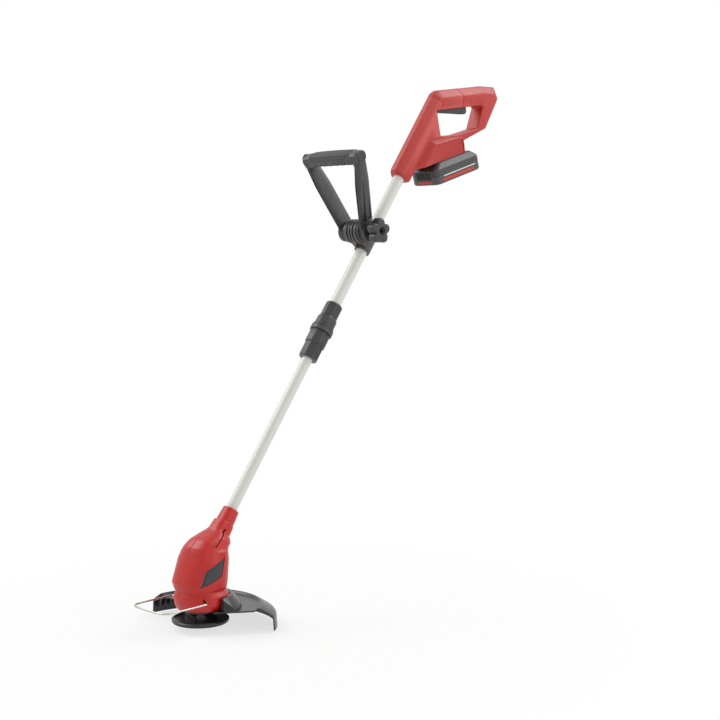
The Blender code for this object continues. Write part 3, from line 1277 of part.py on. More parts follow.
def build_switch():
    """Switch body under the grip's roof, lock-off button, control board and the lead."""
    roof = GRIP_DEPTH - SHELL_WALL - GAP
    body = [grip_point(0.030, 0.0125), grip_point(0.060, 0.0125),
            grip_point(0.060, roof), grip_point(0.030, roof)]
    half = RIDGE_HALF_WIDTH - 0.0005
    piece("switch_body", plate(body, [(-half, 0, 0), (half, 0, 0)], side), PVC, REAR)
    button = bmesh.new()
    inner_face = -(BARREL_HALF_WIDTH - SHELL_WALL) + GAP
    profile = [
        (0.0045, -BARREL_HALF_WIDTH - 0.0028), (0.0055, -BARREL_HALF_WIDTH - 0.0018), (0.0055, inner_face),
        (0.0068, inner_face), (0.0068, inner_face + 0.0014),
    ]
    add_turned(button, profile, 20, frame=along_x(0.0, *grip_point(*BUTTON_AT)))
    piece("lock_off_button", button, BLACK, REAR, smooth=30)
    reach = BARREL_HALF_WIDTH - SHELL_WALL - GAP
    board = box((-reach, reach), (0.0020, 0.0036), (0.075, 0.127))
    board = piece("control_board", board, BOARD, REAR)
    parts = bmesh.new()
    add_box(parts, (-0.009, 0.009), (-0.003, 0.003), (0.082, 0.092))
    add_box(parts, (-0.006, 0.004), (-0.002, 0.003), (0.104, 0.112))
    fuse(board, tool("board_parts", parts, REAR))
    route = [
        (0, *grip_point(0.0297, 0.024)), (0, *grip_point(0.020, 0.023)), (0, -0.0140, 0.192),
        (0, -0.0150, 0.160), (0, -0.0120, 0.110), (0, -0.0090, 0.080), (0, -0.002, 0.058), (0, 0.0, 0.030),
        (0, 0.0, -0.020),
    ]
    tube_along("handle_lead", smooth_route(route, 4), 0.0018, PVC, REAR, 2)


def pack_outline():
    """The battery's plan outline, anticlockwise from the front right corner."""
    half, length, corner = BATTERY_WIDTH / 2, BATTERY_LENGTH, BATTERY_CORNER
    return [
        (-half + corner, 0.0), (half - corner, 0.0), (half, corner), (half, length - corner),
        (half - corner, length), (-half + corner, length), (-half, length - corner), (-half, corner),
    ]


def shoulder_slopes():
    """How far each edge of the plan outline moves in from the shoulder to the top."""
    front_corner = (SLOPE_FRONT + SLOPE_SIDE - BATTERY_CORNER * 0.6) * sin(pi / 4)
    rear_corner = (SLOPE_REAR + SLOPE_SIDE - BATTERY_CORNER * 0.6) * sin(pi / 4)
    return [SLOPE_FRONT, front_corner, SLOPE_SIDE, rear_corner, SLOPE_REAR, rear_corner, SLOPE_SIDE,
            front_corner]


def build_battery():
    """The battery: two case halves with rails on top, cells, board, contacts, trim and latch."""
    outline = pack_outline()
    wall, height, split = BATTERY_WALL, BATTERY_HEIGHT, BATTERY_SPLIT
    low_chamfers = [0.004] * len(outline)
    lower = plate(outline, [(0.0, 1, 0), (0.004, 0, 0), (split, 0, 0)], plan, low_chamfers)
    lower = piece("battery_case_lower", lower, BLACK, BATTERY, smooth=25)
    space = plate(outline, [(wall, 0.6, wall), (0.004, 0, wall), (split + 0.01, 0, wall)], plan, low_chamfers)
    cut(lower, tool("lower_space", space, BATTERY))
    chamfers = shoulder_slopes()
    shoulder = height - SHOULDER_DROP
    upper = plate(outline, [(split + GAP, 0, 0), (shoulder, 0, 0), (height, 1, 0)], plan, chamfers)
    upper = piece("battery_case_upper", upper, BLACK, BATTERY, smooth=25)
    share = 1 - wall / SHOULDER_DROP
    space = plate(outline, [(split - 0.01, 0, wall), (shoulder, 0, wall), (height - wall, share, wall)],
                  plan, chamfers)
    cut(upper, tool("upper_space", space, BATTERY))
    rail_end = RAIL_START + RAIL_LENGTH
    stem_top = height + RAIL_STEM_HEIGHT
    stem, flange = RAIL_STEM_WIDTH / 2, RAIL_WIDTH / 2
    rail = [(-stem, height - 0.001), (stem, height - 0.001), (stem, stem_top), (flange, stem_top),
            (flange, stem_top + RAIL_HEIGHT), (-flange, stem_top + RAIL_HEIGHT), (-flange, stem_top),
            (-stem, stem_top)]
    rail = loft([[Vector((x, u, v)) for x, v in rail] for u in (RAIL_START, rail_end)])
    fuse(upper, tool("battery_rails", rail, BATTERY))
    slots = bmesh.new()
    for x in (-TERMINAL_OFFSET, TERMINAL_OFFSET):
        half = BLADE_HALF + EASY
        add_box(slots, (x - half, x + half), (rail_end - 0.021, rail_end + 0.01),
                (height + 0.001, stem_top + RAIL_HEIGHT + 0.01))
    cut(upper, tool("contact_slots", slots, BATTERY))
    build_latch(lower, upper)
    build_trim(lower)
    cells = bmesh.new()
    straps = bmesh.new()
    centre = wall + GAP + CELL_RADIUS
    pitch = (CELL_RADIUS + GAP) * 2
    reach = pitch * (CELL_COUNT - 1) / 2
    for index in range(CELL_COUNT):
        u = BATTERY_LENGTH / 2 - reach + pitch * index
        add_rod_x(cells, CELL_RADIUS, -CELL_LENGTH / 2, CELL_LENGTH / 2, u, centre, 16)
    for sign in (1, -1):
        ends = sorted((sign * (CELL_LENGTH / 2 - GAP), sign * (CELL_LENGTH / 2 + STRAP_THICKNESS)))
        add_box(straps, ends, (BATTERY_LENGTH / 2 - reach, BATTERY_LENGTH / 2 + reach),
                (centre - STRAP_WIDTH / 2, centre + STRAP_WIDTH / 2))
    pack = piece("cell_pack", cells, CELL, BATTERY, smooth=30)
    fuse(pack, tool("cell_straps", straps, BATTERY))
    top = centre + CELL_RADIUS + GAP
    board = box((-0.030, 0.030), (0.028, BATTERY_LENGTH - 0.028), (top, top + 0.0016))
    piece("battery_board", board, BOARD, BATTERY)


def build_latch(lower, upper):
    """The ribbed latch button in the battery's front, held behind the wall by a flange."""
    half, low = LATCH_WIDTH / 2, 0.0115
    high = low + LATCH_HEIGHT
    opening = box((-half, half), (-0.01, BATTERY_WALL + 0.002), (low, high))
    opening = tool("latch_opening", opening, BATTERY)
    cut(lower, opening)
    cut(upper, opening)
    gap = GAP
    button = box((-half + gap, half - gap), (0.0, LATCH_DEPTH), (low + gap, high - gap))
    button = piece("latch_button", button, BLACK, BATTERY)
    flange = box((-half - 0.002, half + 0.002), (BATTERY_WALL + gap, LATCH_DEPTH - 0.002),
                 (low - 0.002, high + 0.002))
    fuse(button, tool("latch_flange", flange, BATTERY))
    grooves = bmesh.new()
    ribs = 11
    pitch = (LATCH_WIDTH - 0.006) / ribs
    for index in range(ribs):
        x = (index - (ribs - 1) / 2) * pitch
        add_box(grooves, (x - pitch * 0.25, x + pitch * 0.25), (-0.002, 0.0009), (low + 0.002, high - 0.002))
    cut(button, tool("latch_grooves", grooves, BATTERY))


def build_trim(lower):
    """Red strips let into the lower case: one along each side and a ribbed one in front."""
    half = BATTERY_WIDTH / 2
    long_range = (0.020, BATTERY_LENGTH - 0.024)
    heights = (0.0050, 0.0115)
    grooves = bmesh.new()
    for sign, name in ((1, "left"), (-1, "right")):
        add_box(grooves, sorted((sign * (half - TRIM_THICKNESS), sign * (half + 0.01))), long_range, heights)
        strip = box(sorted((sign * (half - TRIM_THICKNESS + GAP), sign * half)),
                    (long_range[0] + GAP, long_range[1] - GAP), (heights[0] + GAP, heights[1] - GAP))
        piece("side_trim_" + name, strip, RED, BATTERY)
    front_half = LATCH_WIDTH / 2 - 0.004
    front_heights = (0.0042, 0.0092)
    add_box(grooves, (-front_half, front_half), (-0.01, TRIM_THICKNESS), front_heights)
    ring = []
    ribs = 9
    pitch = (front_half - GAP) * 2 / ribs
    for index in range(ribs):
        x = -front_half + GAP + pitch * index
        ring += [(x, 0.0006), (x + pitch * 0.2, 0.0), (x + pitch * 0.7, 0.0), (x + pitch * 0.9, 0.0006)]
    ring += [(front_half - GAP, TRIM_THICKNESS - GAP), (-front_half + GAP, TRIM_THICKNESS - GAP)]
    levels = (front_heights[0] + GAP, front_heights[1] - GAP)
    piece("front_trim", loft([[Vector((x, u, v)) for x, u in ring] for v in levels]), RED, BATTERY)
    cut(lower, tool("trim_grooves", grooves, BATTERY))


build_head()
build_motor()
build_cutter()
build_shield()
build_plant_guard()
build_tubes()
build_pole_lock()
build_clamp()
build_front_handle()
build_rear_housing()
build_terminals()
build_trigger()
build_battery()
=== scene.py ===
"""Looks of a cordless string trimmer: finishes, refined visible pieces, studio and camera.

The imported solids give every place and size. Each visible piece is rebuilt here with the edge
radii, grooves, ribs and textures of the moulded, drawn or turned original, and rides on the body
of the solid that it stands for. Lengths are in metres, and +X is the tool's left side.
"""
from __future__ import annotations

import logging
from collections.abc import Iterable, Sequence
from dataclasses import dataclass, field
from enum import Enum
from math import asin, cos, hypot, pi, radians, sin, tan, tau

import bmesh
import bpy
from mathutils import Matrix, Vector


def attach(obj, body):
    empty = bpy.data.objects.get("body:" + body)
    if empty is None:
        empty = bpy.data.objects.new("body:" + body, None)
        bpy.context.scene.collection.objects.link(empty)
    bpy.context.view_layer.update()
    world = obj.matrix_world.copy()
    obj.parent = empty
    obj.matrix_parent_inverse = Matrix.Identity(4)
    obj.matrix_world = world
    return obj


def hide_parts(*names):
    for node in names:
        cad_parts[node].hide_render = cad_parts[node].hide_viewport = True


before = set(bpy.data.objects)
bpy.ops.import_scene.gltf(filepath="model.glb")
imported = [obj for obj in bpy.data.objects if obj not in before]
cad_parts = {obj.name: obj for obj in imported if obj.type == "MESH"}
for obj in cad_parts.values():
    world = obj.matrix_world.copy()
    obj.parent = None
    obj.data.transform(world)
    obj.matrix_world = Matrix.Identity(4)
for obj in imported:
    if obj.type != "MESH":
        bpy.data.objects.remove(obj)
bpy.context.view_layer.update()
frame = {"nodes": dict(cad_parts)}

log = logging.getLogger("trimmer")

MM = 0.001
# Half widths of the two arms of a screw's cross recess
CROSS = ((0.45 * MM, 1.6 * MM), (1.6 * MM, 0.45 * MM))

Mesh = bmesh.types.BMesh
Pair = tuple[float, float]
Level = tuple[float, float, float]
Pairs = Sequence[Pair]


class Side(Enum):
    """The two sides of the tool, by the sign of X."""

    LEFT = 1
    RIGHT = -1

    @property
    def label(self) -> str:
        """The side's name, as the nodes use it."""
        return self.name.lower()

    def reach(self, near: float, far: float) -> Pair:
        """The (low, high) in X of a range on this side."""
        low, high = sorted((self.value * near, self.value * far))
        return low, high


class View(Enum):
    """The plane that an outline is drawn in; the third number is the depth across it."""

    SIDE = "side"
    FRONT = "front"
    PLAN = "plan"

    def point(self, u: float, v: float, depth: float) -> Vector:
        """Places an outline point at a depth.

        Args:
            u: First coordinate of the outline.
            v: Second coordinate of the outline.
            depth: Distance across the plane.

        Returns:
            The point in space.
        """
        if self is View.SIDE:
            return Vector((depth, u, v))
        if self is View.FRONT:
            return Vector((u, depth, v))
        return Vector((u, v, depth))


# ---- frames of the tool, as the solids have them

POLE_TILT = radians(36.6)
POLE = Matrix.Translation((0, 0, 0.109)) @ Matrix.Rotation(-POLE_TILT, 4, "X")
LOCK_START = 0.486
CLAMP_AT = 0.785
REAR_START = 0.955
PIVOT_OFFSET = 0.035
LOCK = POLE @ Matrix.Translation((0, 0, LOCK_START))
CLAMP = POLE @ Matrix.Translation((0, 0, CLAMP_AT))
AUX = CLAMP @ Matrix.Translation((0, -PIVOT_OFFSET, 0)) @ Matrix.Rotation(radians(62.4), 4, "X")
REAR = POLE @ Matrix.Translation((0, 0, REAR_START))
BATTERY_TILT = radians(53.0)
BATTERY_AT = (0.081037, 0.043016)
BATTERY = REAR @ Matrix.Translation((0, *BATTERY_AT)) @ Matrix.Rotation(BATTERY_TILT, 4, "X")
WORLD = Matrix.Identity(4)


def move(x: float, y: float, z: float) -> Matrix:
    """The frame moved by a distance along each axis."""
    return Matrix.Translation((x, y, z))


def pole_point(behind: float, up: float) -> Pair:
    """World (y, z) of a point this far behind the pole's axis and up the pole."""
    place = POLE @ Vector((0, behind, up))
    return place.y, place.z


# ---- materials


def linear(code: str) -> tuple[float, float, float, float]:
    """Turns an sRGB hex colour into a linear one.

    Args:
        code: Six hex digits.

    Returns:
        Red, green, blue and alpha for a shader socket.
    """
    values = []
    for index in (0, 2, 4):
        value = int(code[index:index + 2], 16) / 255
        values.append(value / 12.92 if value <= 0.04045 else ((value + 0.055) / 1.055) ** 2.4)
    return values[0], values[1], values[2], 1.0


def add_node(tree: bpy.types.NodeTree, kind: str, inputs: dict | None = None, **settings) -> bpy.types.Node:
    """Adds a shader node with its settings and links.

    Args:
        tree: The material's node tree.
        kind: The node's type name, without its ShaderNode prefix.
        inputs: Socket name or number to a value, or to the output socket that feeds it.
        **settings: Properties of the node itself.

    Returns:
        The new node.
    """
    node = tree.nodes.new("ShaderNode" + kind)
    for key, value in settings.items():
        setattr(node, key, value)
    for socket, value in (inputs or {}).items():
        if isinstance(value, bpy.types.NodeSocket):
            tree.links.new(value, node.inputs[socket])
        else:
            node.inputs[socket].default_value = value
    return node


def per_metre(size_mm: float) -> float:
    """The texture scale that gives features of a real size in millimetres."""
    return 1.0 / (size_mm * MM)


def new_tree(name: str) -> tuple[bpy.types.Material, bpy.types.NodeTree, bpy.types.Node, bpy.types.NodeSocket]:
    """Starts a material.

    Args:
        name: The material's name.

    Returns:
        The material, its tree, its output node and the socket with the place on the object.
    """
    material = bpy.data.materials.new(name)
    material.use_nodes = True
    tree = material.node_tree
    tree.nodes.clear()
    place = add_node(tree, "TexCoord").outputs["Object"]
    return material, tree, tree.nodes.new("ShaderNodeOutputMaterial"), place


@dataclass(frozen=True)
class MouldedPlastic:
    """Injection-moulded ABS or nylon: an even colour, a fine spark-eroded grain, rubbed edges."""

    name: str
    colour: str
    deep: str
    rubbed: str
    roughness: float
    grain_mm: float
    grain_height_mm: float
    mottle_mm: float = 24.0
    ior: float = 1.50

    def build(self) -> bpy.types.Material:
        """Makes the material and returns it."""
        material, tree, out, place = new_tree(self.name)
        # Slow cloudiness, as pigment and mould flow leave it in a large moulding
        mottle = add_node(tree, "TexNoise", {
            "Vector": place, "Scale": per_metre(self.mottle_mm), "Detail": 3.0, "Roughness": 0.55})
        share = add_node(tree, "MapRange", {
            "Value": mottle.outputs[0], "From Min": 0.30, "From Max": 0.72, "To Min": 0.0, "To Max": 1.0})
        body = add_node(tree, "Mix", {
            0: share.outputs[0], 6: linear(self.deep), 7: linear(self.colour)}, data_type="RGBA")
        # Corners are rubbed a little paler by handling
        edge = add_node(tree, "NewGeometry").outputs["Pointiness"]
        rub = add_node(tree, "MapRange", {
            "Value": edge, "From Min": 0.515, "From Max": 0.60, "To Min": 0.0, "To Max": 0.55})
        colour = add_node(tree, "Mix", {
            0: rub.outputs[0], 6: body.outputs[2], 7: linear(self.rubbed)}, data_type="RGBA")
        # The spark-eroded grain, drawn as coarse as it needs to show
        grain = add_node(tree, "TexNoise", {
            "Vector": place, "Scale": per_metre(self.grain_mm), "Detail": 2.0, "Roughness": 0.6})
        gloss = add_node(tree, "MapRange", {
            "Value": grain.outputs[0], "From Min": 0.25, "From Max": 0.75,
            "To Min": self.roughness - 0.05, "To Max": self.roughness + 0.06})
        relief = add_node(tree, "Bump", {
            "Strength": 0.14, "Distance": self.grain_height_mm * MM, "Height": grain.outputs[0]})
        shader = add_node(tree, "BsdfPrincipled", {
            "Base Color": colour.outputs[2], "Roughness": gloss.outputs[0], "Normal": relief.outputs[0],
            "IOR": self.ior})
        tree.links.new(shader.outputs[0], out.inputs[0])
        return material


@dataclass(frozen=True)
class PaintedTube:
    """Powder-painted steel tube: an off-white satin skin with faint orange peel."""

    name: str
    colour: str
    deep: str
    roughness: float
    peel_mm: float
    ior: float = 1.52

    def build(self) -> bpy.types.Material:
        """Makes the material and returns it."""
        material, tree, out, place = new_tree(self.name)
        cloud = add_node(tree, "TexNoise", {"Vector": place, "Scale": per_metre(60.0), "Detail": 2.0})
        colour = add_node(tree, "Mix", {
            0: cloud.outputs[0], 6: linear(self.deep), 7: linear(self.colour)}, data_type="RGBA")
        peel = add_node(tree, "TexNoise", {
            "Vector": place, "Scale": per_metre(self.peel_mm), "Detail": 1.0})
        relief = add_node(tree, "Bump", {
            "Strength": 0.06, "Distance": 0.01 * MM, "Height": peel.outputs[0]})
        shader = add_node(tree, "BsdfPrincipled", {
            "Base Color": colour.outputs[2], "Roughness": self.roughness, "Normal": relief.outputs[0],
            "IOR": self.ior, "Coat Weight": 0.25, "Coat Roughness": 0.18})
        tree.links.new(shader.outputs[0], out.inputs[0])
        return material


@dataclass(frozen=True)
class WorkedMetal:
    """Bare or plated metal with the fine lines of drawing, turning or stamping."""

    name: str
    colour: str
    deep: str
    roughness: float
    line_mm: float
    stretch: tuple[float, float, float] = (1.0, 1.0, 0.05)

    def build(self) -> bpy.types.Material:
        """Makes the material and returns it."""
        material, tree, out, place = new_tree(self.name)
        along = add_node(tree, "Mapping", {"Vector": place, "Scale": self.stretch})
        lines = add_node(tree, "TexNoise", {
            "Vector": along.outputs[0], "Scale": per_metre(self.line_mm), "Detail": 3.0})
        colour = add_node(tree, "Mix", {
            0: lines.outputs[0], 6: linear(self.deep), 7: linear(self.colour)}, data_type="RGBA")
        gloss = add_node(tree, "MapRange", {
            "Value": lines.outputs[0], "From Min": 0.3, "From Max": 0.7,
            "To Min": self.roughness - 0.06, "To Max": self.roughness + 0.10})
        relief = add_node(tree, "Bump", {
            "Strength": 0.25, "Distance": 0.02 * MM, "Height": lines.outputs[0]})
        shader = add_node(tree, "BsdfPrincipled", {
            "Base Color": colour.outputs[2], "Roughness": gloss.outputs[0], "Normal": relief.outputs[0],
            "Metallic": 1.0})
        tree.links.new(shader.outputs[0], out.inputs[0])
        return material


@dataclass(frozen=True)
class LacqueredBoard:
    """Glass-epoxy circuit board: green solder mask with darker tracks under it."""

    name: str = "solder_mask_board"
    colour: str = "2C6B3F"
    track: str = "1D4A2C"
    track_mm: float = 2.2

    def build(self) -> bpy.types.Material:
        """Makes the material and returns it."""
        material, tree, out, place = new_tree(self.name)
        cells = add_node(tree, "TexVoronoi", {
            "Vector": place, "Scale": per_metre(self.track_mm)}, distance="MANHATTAN")
        edge = add_node(tree, "MapRange", {
            "Value": cells.outputs["Distance"], "From Min": 0.30, "From Max": 0.34, "To Min": 0.0, "To Max": 1.0})
        colour = add_node(tree, "Mix", {
            0: edge.outputs[0], 6: linear(self.colour), 7: linear(self.track)}, data_type="RGBA")
        shader = add_node(tree, "BsdfPrincipled", {
            "Base Color": colour.outputs[2], "Roughness": 0.35, "Coat Weight": 0.4})
        tree.links.new(shader.outputs[0], out.inputs[0])
        return material


class Finish(Enum):
    """Every finish on the trimmer."""

    # ABS in signal red: satin, even, with the light catching only on the broad facets
    RED_ABS = MouldedPlastic("moulded_red_abs", "C41B12", "B61810", "D0433A", 0.36, 0.55, 0.05)
    # The same ABS at the rear, as a copy painted duller and paler to stand in for the sheen on it, and a shade
    # drier
    RED_ABS_PAINTED_SHEEN = MouldedPlastic("moulded_red_abs_painted_sheen", "B62822", "A9231E", "CC5A52", 0.44, 0.55, 0.05)
    # Glass-filled nylon: charcoal with a slightly dusty, grainy sheen
    CHARCOAL_NYLON = MouldedPlastic("glass_filled_charcoal_nylon", "363637", "2B2B2C", "5A5552",
                                    0.40, 0.70, 0.07)
    # Polypropylene: a blacker, glossier moulding, for the shield and the cutter
    BLACK_PP = MouldedPlastic("moulded_black_polypropylene", "1F1F20", "18181A", "383635",
                              0.27, 0.90, 0.03)
    # Thermoplastic rubber over the grip: matt and soft, with no hard highlight
    SOFT_RUBBER = MouldedPlastic("overmoulded_soft_rubber", "454343", "3A3838", "57514E",
                                 0.66, 0.60, 0.10)
    # Nylon cutting blade: red, slightly waxy
    BLADE_NYLON = MouldedPlastic("moulded_red_blade_nylon", "B8352B", "A02C24", "C75A4C", 0.42, 0.8, 0.05)
    # Dull black PVC and Bakelite of leads, end caps and switches
    BLACK_PVC = MouldedPlastic("matt_black_pvc", "262626", "1E1E1E", "3A3A3A", 0.58, 0.8, 0.05)
    # Shrink sleeve on the cells: smooth blue film
    CELL_SLEEVE = MouldedPlastic("blue_shrink_sleeve", "2F63A6", "28548E", "5A86BE", 0.28, 1.5, 0.02)
    # The pale printed line on the battery's flank
    PALE_INK = MouldedPlastic("pale_pad_print", "D9D6D0", "CFCCC6", "E2E0DB", 0.45, 0.8, 0.01)
    # The dark satin badge plates, left bare
    BADGE_SATIN = MouldedPlastic("satin_charcoal_badge", "36383B", "2E3033", "504F4E", 0.30, 1.2, 0.02)
    # Powder paint: off-white, satin, faintly warm
    TUBE_PAINT = PaintedTube("off_white_powder_paint", "DCDBD3", "D5D4CC", 0.32, 1.6)
    # Zinc plate on stamped and turned steel: cool grey with a soft shine
    ZINC = WorkedMetal("zinc_plated_steel", "B4B7BA", "9A9EA2", 0.32, 0.6)
    # Drawn spring steel: brighter, lines along the wire
    SPRING_STEEL = WorkedMetal("drawn_spring_steel", "C9C5BE", "A8A49E", 0.24, 0.5, (1.0, 0.08, 1.0))
    # Tinned copper and brass of contacts and the knob's nut
    BRASS = WorkedMetal("tinned_brass", "C9A86A", "A98B52", 0.30, 0.6)
    # Circuit boards
    BOARD = LacqueredBoard()


class Paintbox:
    """Makes each finish's material once."""

    def __init__(self) -> None:
        """Starts with no materials."""
        self._made: dict[Finish, bpy.types.Material] = {}

    def get(self, finish: Finish) -> bpy.types.Material:
        """Gives a finish's material.

        Args:
            finish: The finish wanted.

        Returns:
            Its material, made on first use.
        """
        if finish not in self._made:
            self._made[finish] = finish.value.build()
        return self._made[finish]


PAINT = Paintbox()


# ---- mesh tools


def loft(rings: Iterable[Sequence[Vector]], cyclic: bool = False,
         mesh: Mesh | None = None) -> Mesh:
    """Skins rings of equal count into one closed solid.

    Args:
        rings: Rings of points, in order.
        cyclic: Joins the last ring to the first instead of closing the ends.
        mesh: Mesh to add to, or None for a new one.

    Returns:
        The mesh.
    """
    mesh = mesh or bmesh.new()
    made = [[mesh.verts.new(point) for point in ring] for ring in rings]
    pairs = list(zip(made, made[1:]))
    if cyclic:
        pairs.append((made[-1], made[0]))
    for lower, upper in pairs:
        for index, vertex in enumerate(lower):
            following = (index + 1) % len(lower)
            mesh.faces.new((vertex, lower[following], upper[following], upper[index]))
    if not cyclic:
        mesh.faces.new(made[0])
        mesh.faces.new(made[-1])
    return mesh


def span(centre: float, half: float) -> Pair:
    """The (low, high) range round a centre."""
    return centre - half, centre + half


def ramp(value: float, low: float, high: float) -> float:
    """How far a value is from low to high, from 0 to 1."""
    return min(max((value - low) / (high - low), 0.0), 1.0)


def from_corner(radius: float, height: float, *rows: Pair) -> list[Pair]:
    """Points of a turned profile, from rows of (out, up) in millimetres off one corner."""
    return [(radius + out * MM, height + up * MM) for out, up in rows]


def circle(radius: float, height: float, steps: int, flats: int = 0, depth: float = 0.0) -> list[Vector]:
    """A ring about Z.

    Args:
        radius: The ring's radius.
        height: Its height.
        steps: How many points it has.
        flats: How many flat faces are cut into it.
        depth: How deep the flats are cut below the radius.

    Returns:
        The ring's points.
    """
    ring = []
    for index in range(steps):
        angle = tau * index / steps
        reach = radius
        if flats:
            off = (angle + pi / flats) % (tau / flats) - pi / flats
            reach = min(radius, (radius - depth) / cos(off))
        ring.append(Vector((reach * cos(angle), reach * sin(angle), height)))
    return ring


def turned(profile: Pairs, steps: int = 64, hollow: bool = False, place: Matrix = WORLD,
           mesh: Mesh | None = None) -> Mesh:
    """Turns (radius, height) points about a frame's Z; hollow where the profile closes on itself."""
    rings = [[place @ point for point in circle(radius, height, steps)] for radius, height in profile]
    return loft(rings, hollow, mesh)


def along_x(start: float, y: float = 0.0, z: float = 0.0) -> Matrix:
    """A frame whose Z runs along X from a point."""
    return move(start, y, z) @ Matrix.Rotation(pi / 2, 4, "Y")


def rod_x(radius: float, low: float, high: float, y: float, z: float, steps: int = 48) -> Mesh:
    """A round rod along X from low to high, centred on (y, z)."""
    return turned([(radius, 0.0), (radius, high - low)], steps, place=along_x(low, y, z))


def box(x: Pair, y: Pair, z: Pair) -> Mesh:
    """A box from its (low, high) range along each axis."""
    ring = [(x[0], y[0]), (x[1], y[0]), (x[1], y[1]), (x[0], y[1])]
    return loft([[Vector((u, v, height)) for u, v in ring] for height in z])


def inset(points: Pairs, amounts: Sequence[float]) -> list[Vector]:
    """Moves each edge of an anticlockwise outline inwards.

    Args:
        points: The outline.
        amounts: How far each edge moves.

    Returns:
        The moved outline.
    """
    moved = []
    for index, point in enumerate(points):
        here = Vector(point)
        before = (here - Vector(points[index - 1])).normalized()
        after = (Vector(points[(index + 1) % len(points)]) - here).normalized()
        left = Vector((-before.y, before.x))
        right = Vector((-after.y, after.x))
        turn = before.dot(right)
        if abs(turn) < 1e-6:
            moved.append(here + right * (amounts[index - 1] + amounts[index]) / 2)
        else:
            run = (amounts[index] - amounts[index - 1] * left.dot(right)) / turn
            moved.append(here + left * amounts[index - 1] + before * run)
    return moved


def rounded(points: Sequence[Vector], radius: float, steps: int = 5) -> list[Vector]:
    """Rounds every corner of an outline, with the same count of points at each.

    Args:
        points: The outline.
        radius: The corners' radius, less where an edge is short.
        steps: Spans in each corner.

    Returns:
        The rounded outline.
    """
    ring = []
    for index, point in enumerate(points):
        before, after = points[index - 1] - point, points[(index + 1) % len(points)] - point
        reach = max(radius * tan((pi - before.angle(after)) / 2), 0.8 * MM)
        reach = min(reach, before.length * 0.45, after.length * 0.45)
        start, end = point + before.normalized() * reach, point + after.normalized() * reach
        for step in range(steps + 1):
            share = step / steps
            ring.append(start * (1 - share) ** 2 + point * 2 * share * (1 - share) + end * share ** 2)
    return ring


def plate(outline: Pairs, levels: Sequence[Level], view: View, chamfers: Sequence[float] | None = None,
          mesh: Mesh | None = None, corner: float = 0.0) -> Mesh:
    """Extrudes an outline through levels.

    Args:
        outline: Anticlockwise outline.
        levels: Rows of (depth, share of the chamfers, extra inset).
        view: The plane that the outline is drawn in.
        chamfers: The chamfer of each edge.
        mesh: Mesh to add to, or None for a new one.
        corner: Radius that rounds the outline's corners at every level.

    Returns:
        The mesh.
    """
    chamfers = chamfers or [0.0] * len(outline)
    rings = []
    for depth, share, extra in levels:
        moved = inset(outline, [size * share + extra for size in chamfers])
        if corner:
            moved = rounded(moved, corner)
        rings.append([view.point(point.x, point.y, depth) for point in moved])
    return loft(rings, mesh=mesh)


def prism(outline: Pairs, low: float, high: float, view: View,
          mesh: Mesh | None = None) -> Mesh:
    """An outline extruded straight from one depth to another, added to a mesh or in a new one."""
    return plate(outline, [(low, 0, 0), (high, 0, 0)], view, mesh=mesh)


def smooth_route(points: Sequence[Sequence[float]], per_span: int) -> list[Vector]:
    """Points on a smooth curve through a route.

    Args:
        points: The route's corners.
        per_span: Points between two corners.

    Returns:
        The curve's points.
    """
    guide = [Vector(point) for point in points]
    guide = [guide[0] * 2 - guide[1], *guide, guide[-1] * 2 - guide[-2]]
    route = []
    for index in range(1, len(guide) - 2):
        p0, p1, p2, p3 = guide[index - 1:index + 3]
        for step in range(per_span):
            t = step / per_span
            route.append(0.5 * (2 * p1 + (p2 - p0) * t + (2 * p0 - 5 * p1 + 4 * p2 - p3) * t * t
                                + (3 * p1 - p0 - 3 * p2 + p3) * t ** 3))
    route.append(guide[-2])
    return route


def wire(points: Sequence[Vector], radius: float, sides: int = 16) -> Mesh:
    """A round wire along points, with domed ends.

    Args:
        points: The wire's centre line.
        radius: Its radius.
        sides: Points round it.

    Returns:
        The mesh.
    """
    rings = []
    normal = Vector((0, 0, 1))
    count = len(points)
    for index, point in enumerate(points):
        ahead = points[min(index + 1, count - 1)] - points[max(index - 1, 0)]
        ahead.normalize()
        across = ahead.cross(normal)
        if across.length < 1e-4:
            across = ahead.cross(Vector((0, 1, 0)))
        across.normalize()
        normal = across.cross(ahead).normalized()
        share = 0.55 if index in (0, count - 1) else 1.0
        rings.append([point + (across * cos(tau * k / sides) + normal * sin(tau * k / sides)) * radius * share
                      for k in range(sides)])
    return loft(rings)


def to_object(name: str, mesh: Mesh, place: Matrix = WORLD) -> bpy.types.Object:
    """Turns a mesh into an object at the origin.

    Args:
        name: The object's name.
        mesh: Its mesh, freed here.
        place: Frame that the mesh was drawn in.

    Returns:
        The object.
    """
    bmesh.ops.recalc_face_normals(mesh, faces=mesh.faces)
    mesh.transform(place)
    data = bpy.data.meshes.new(name)
    mesh.to_mesh(data)
    mesh.free()
    made = bpy.data.objects.new(name, data)
    bpy.context.collection.objects.link(made)
    return made


@dataclass
class Recipe:
    """How a piece is finished after its blank is drawn."""

    joins: list[Mesh] = field(default_factory=list)
    cuts: list[Mesh] = field(default_factory=list)
    bevel_mm: float = 0.0
    bevel_angle: float = 24.0
    segments: int = 3
    crease: float = 32.0
    place: Matrix = field(default_factory=lambda: WORLD.copy())


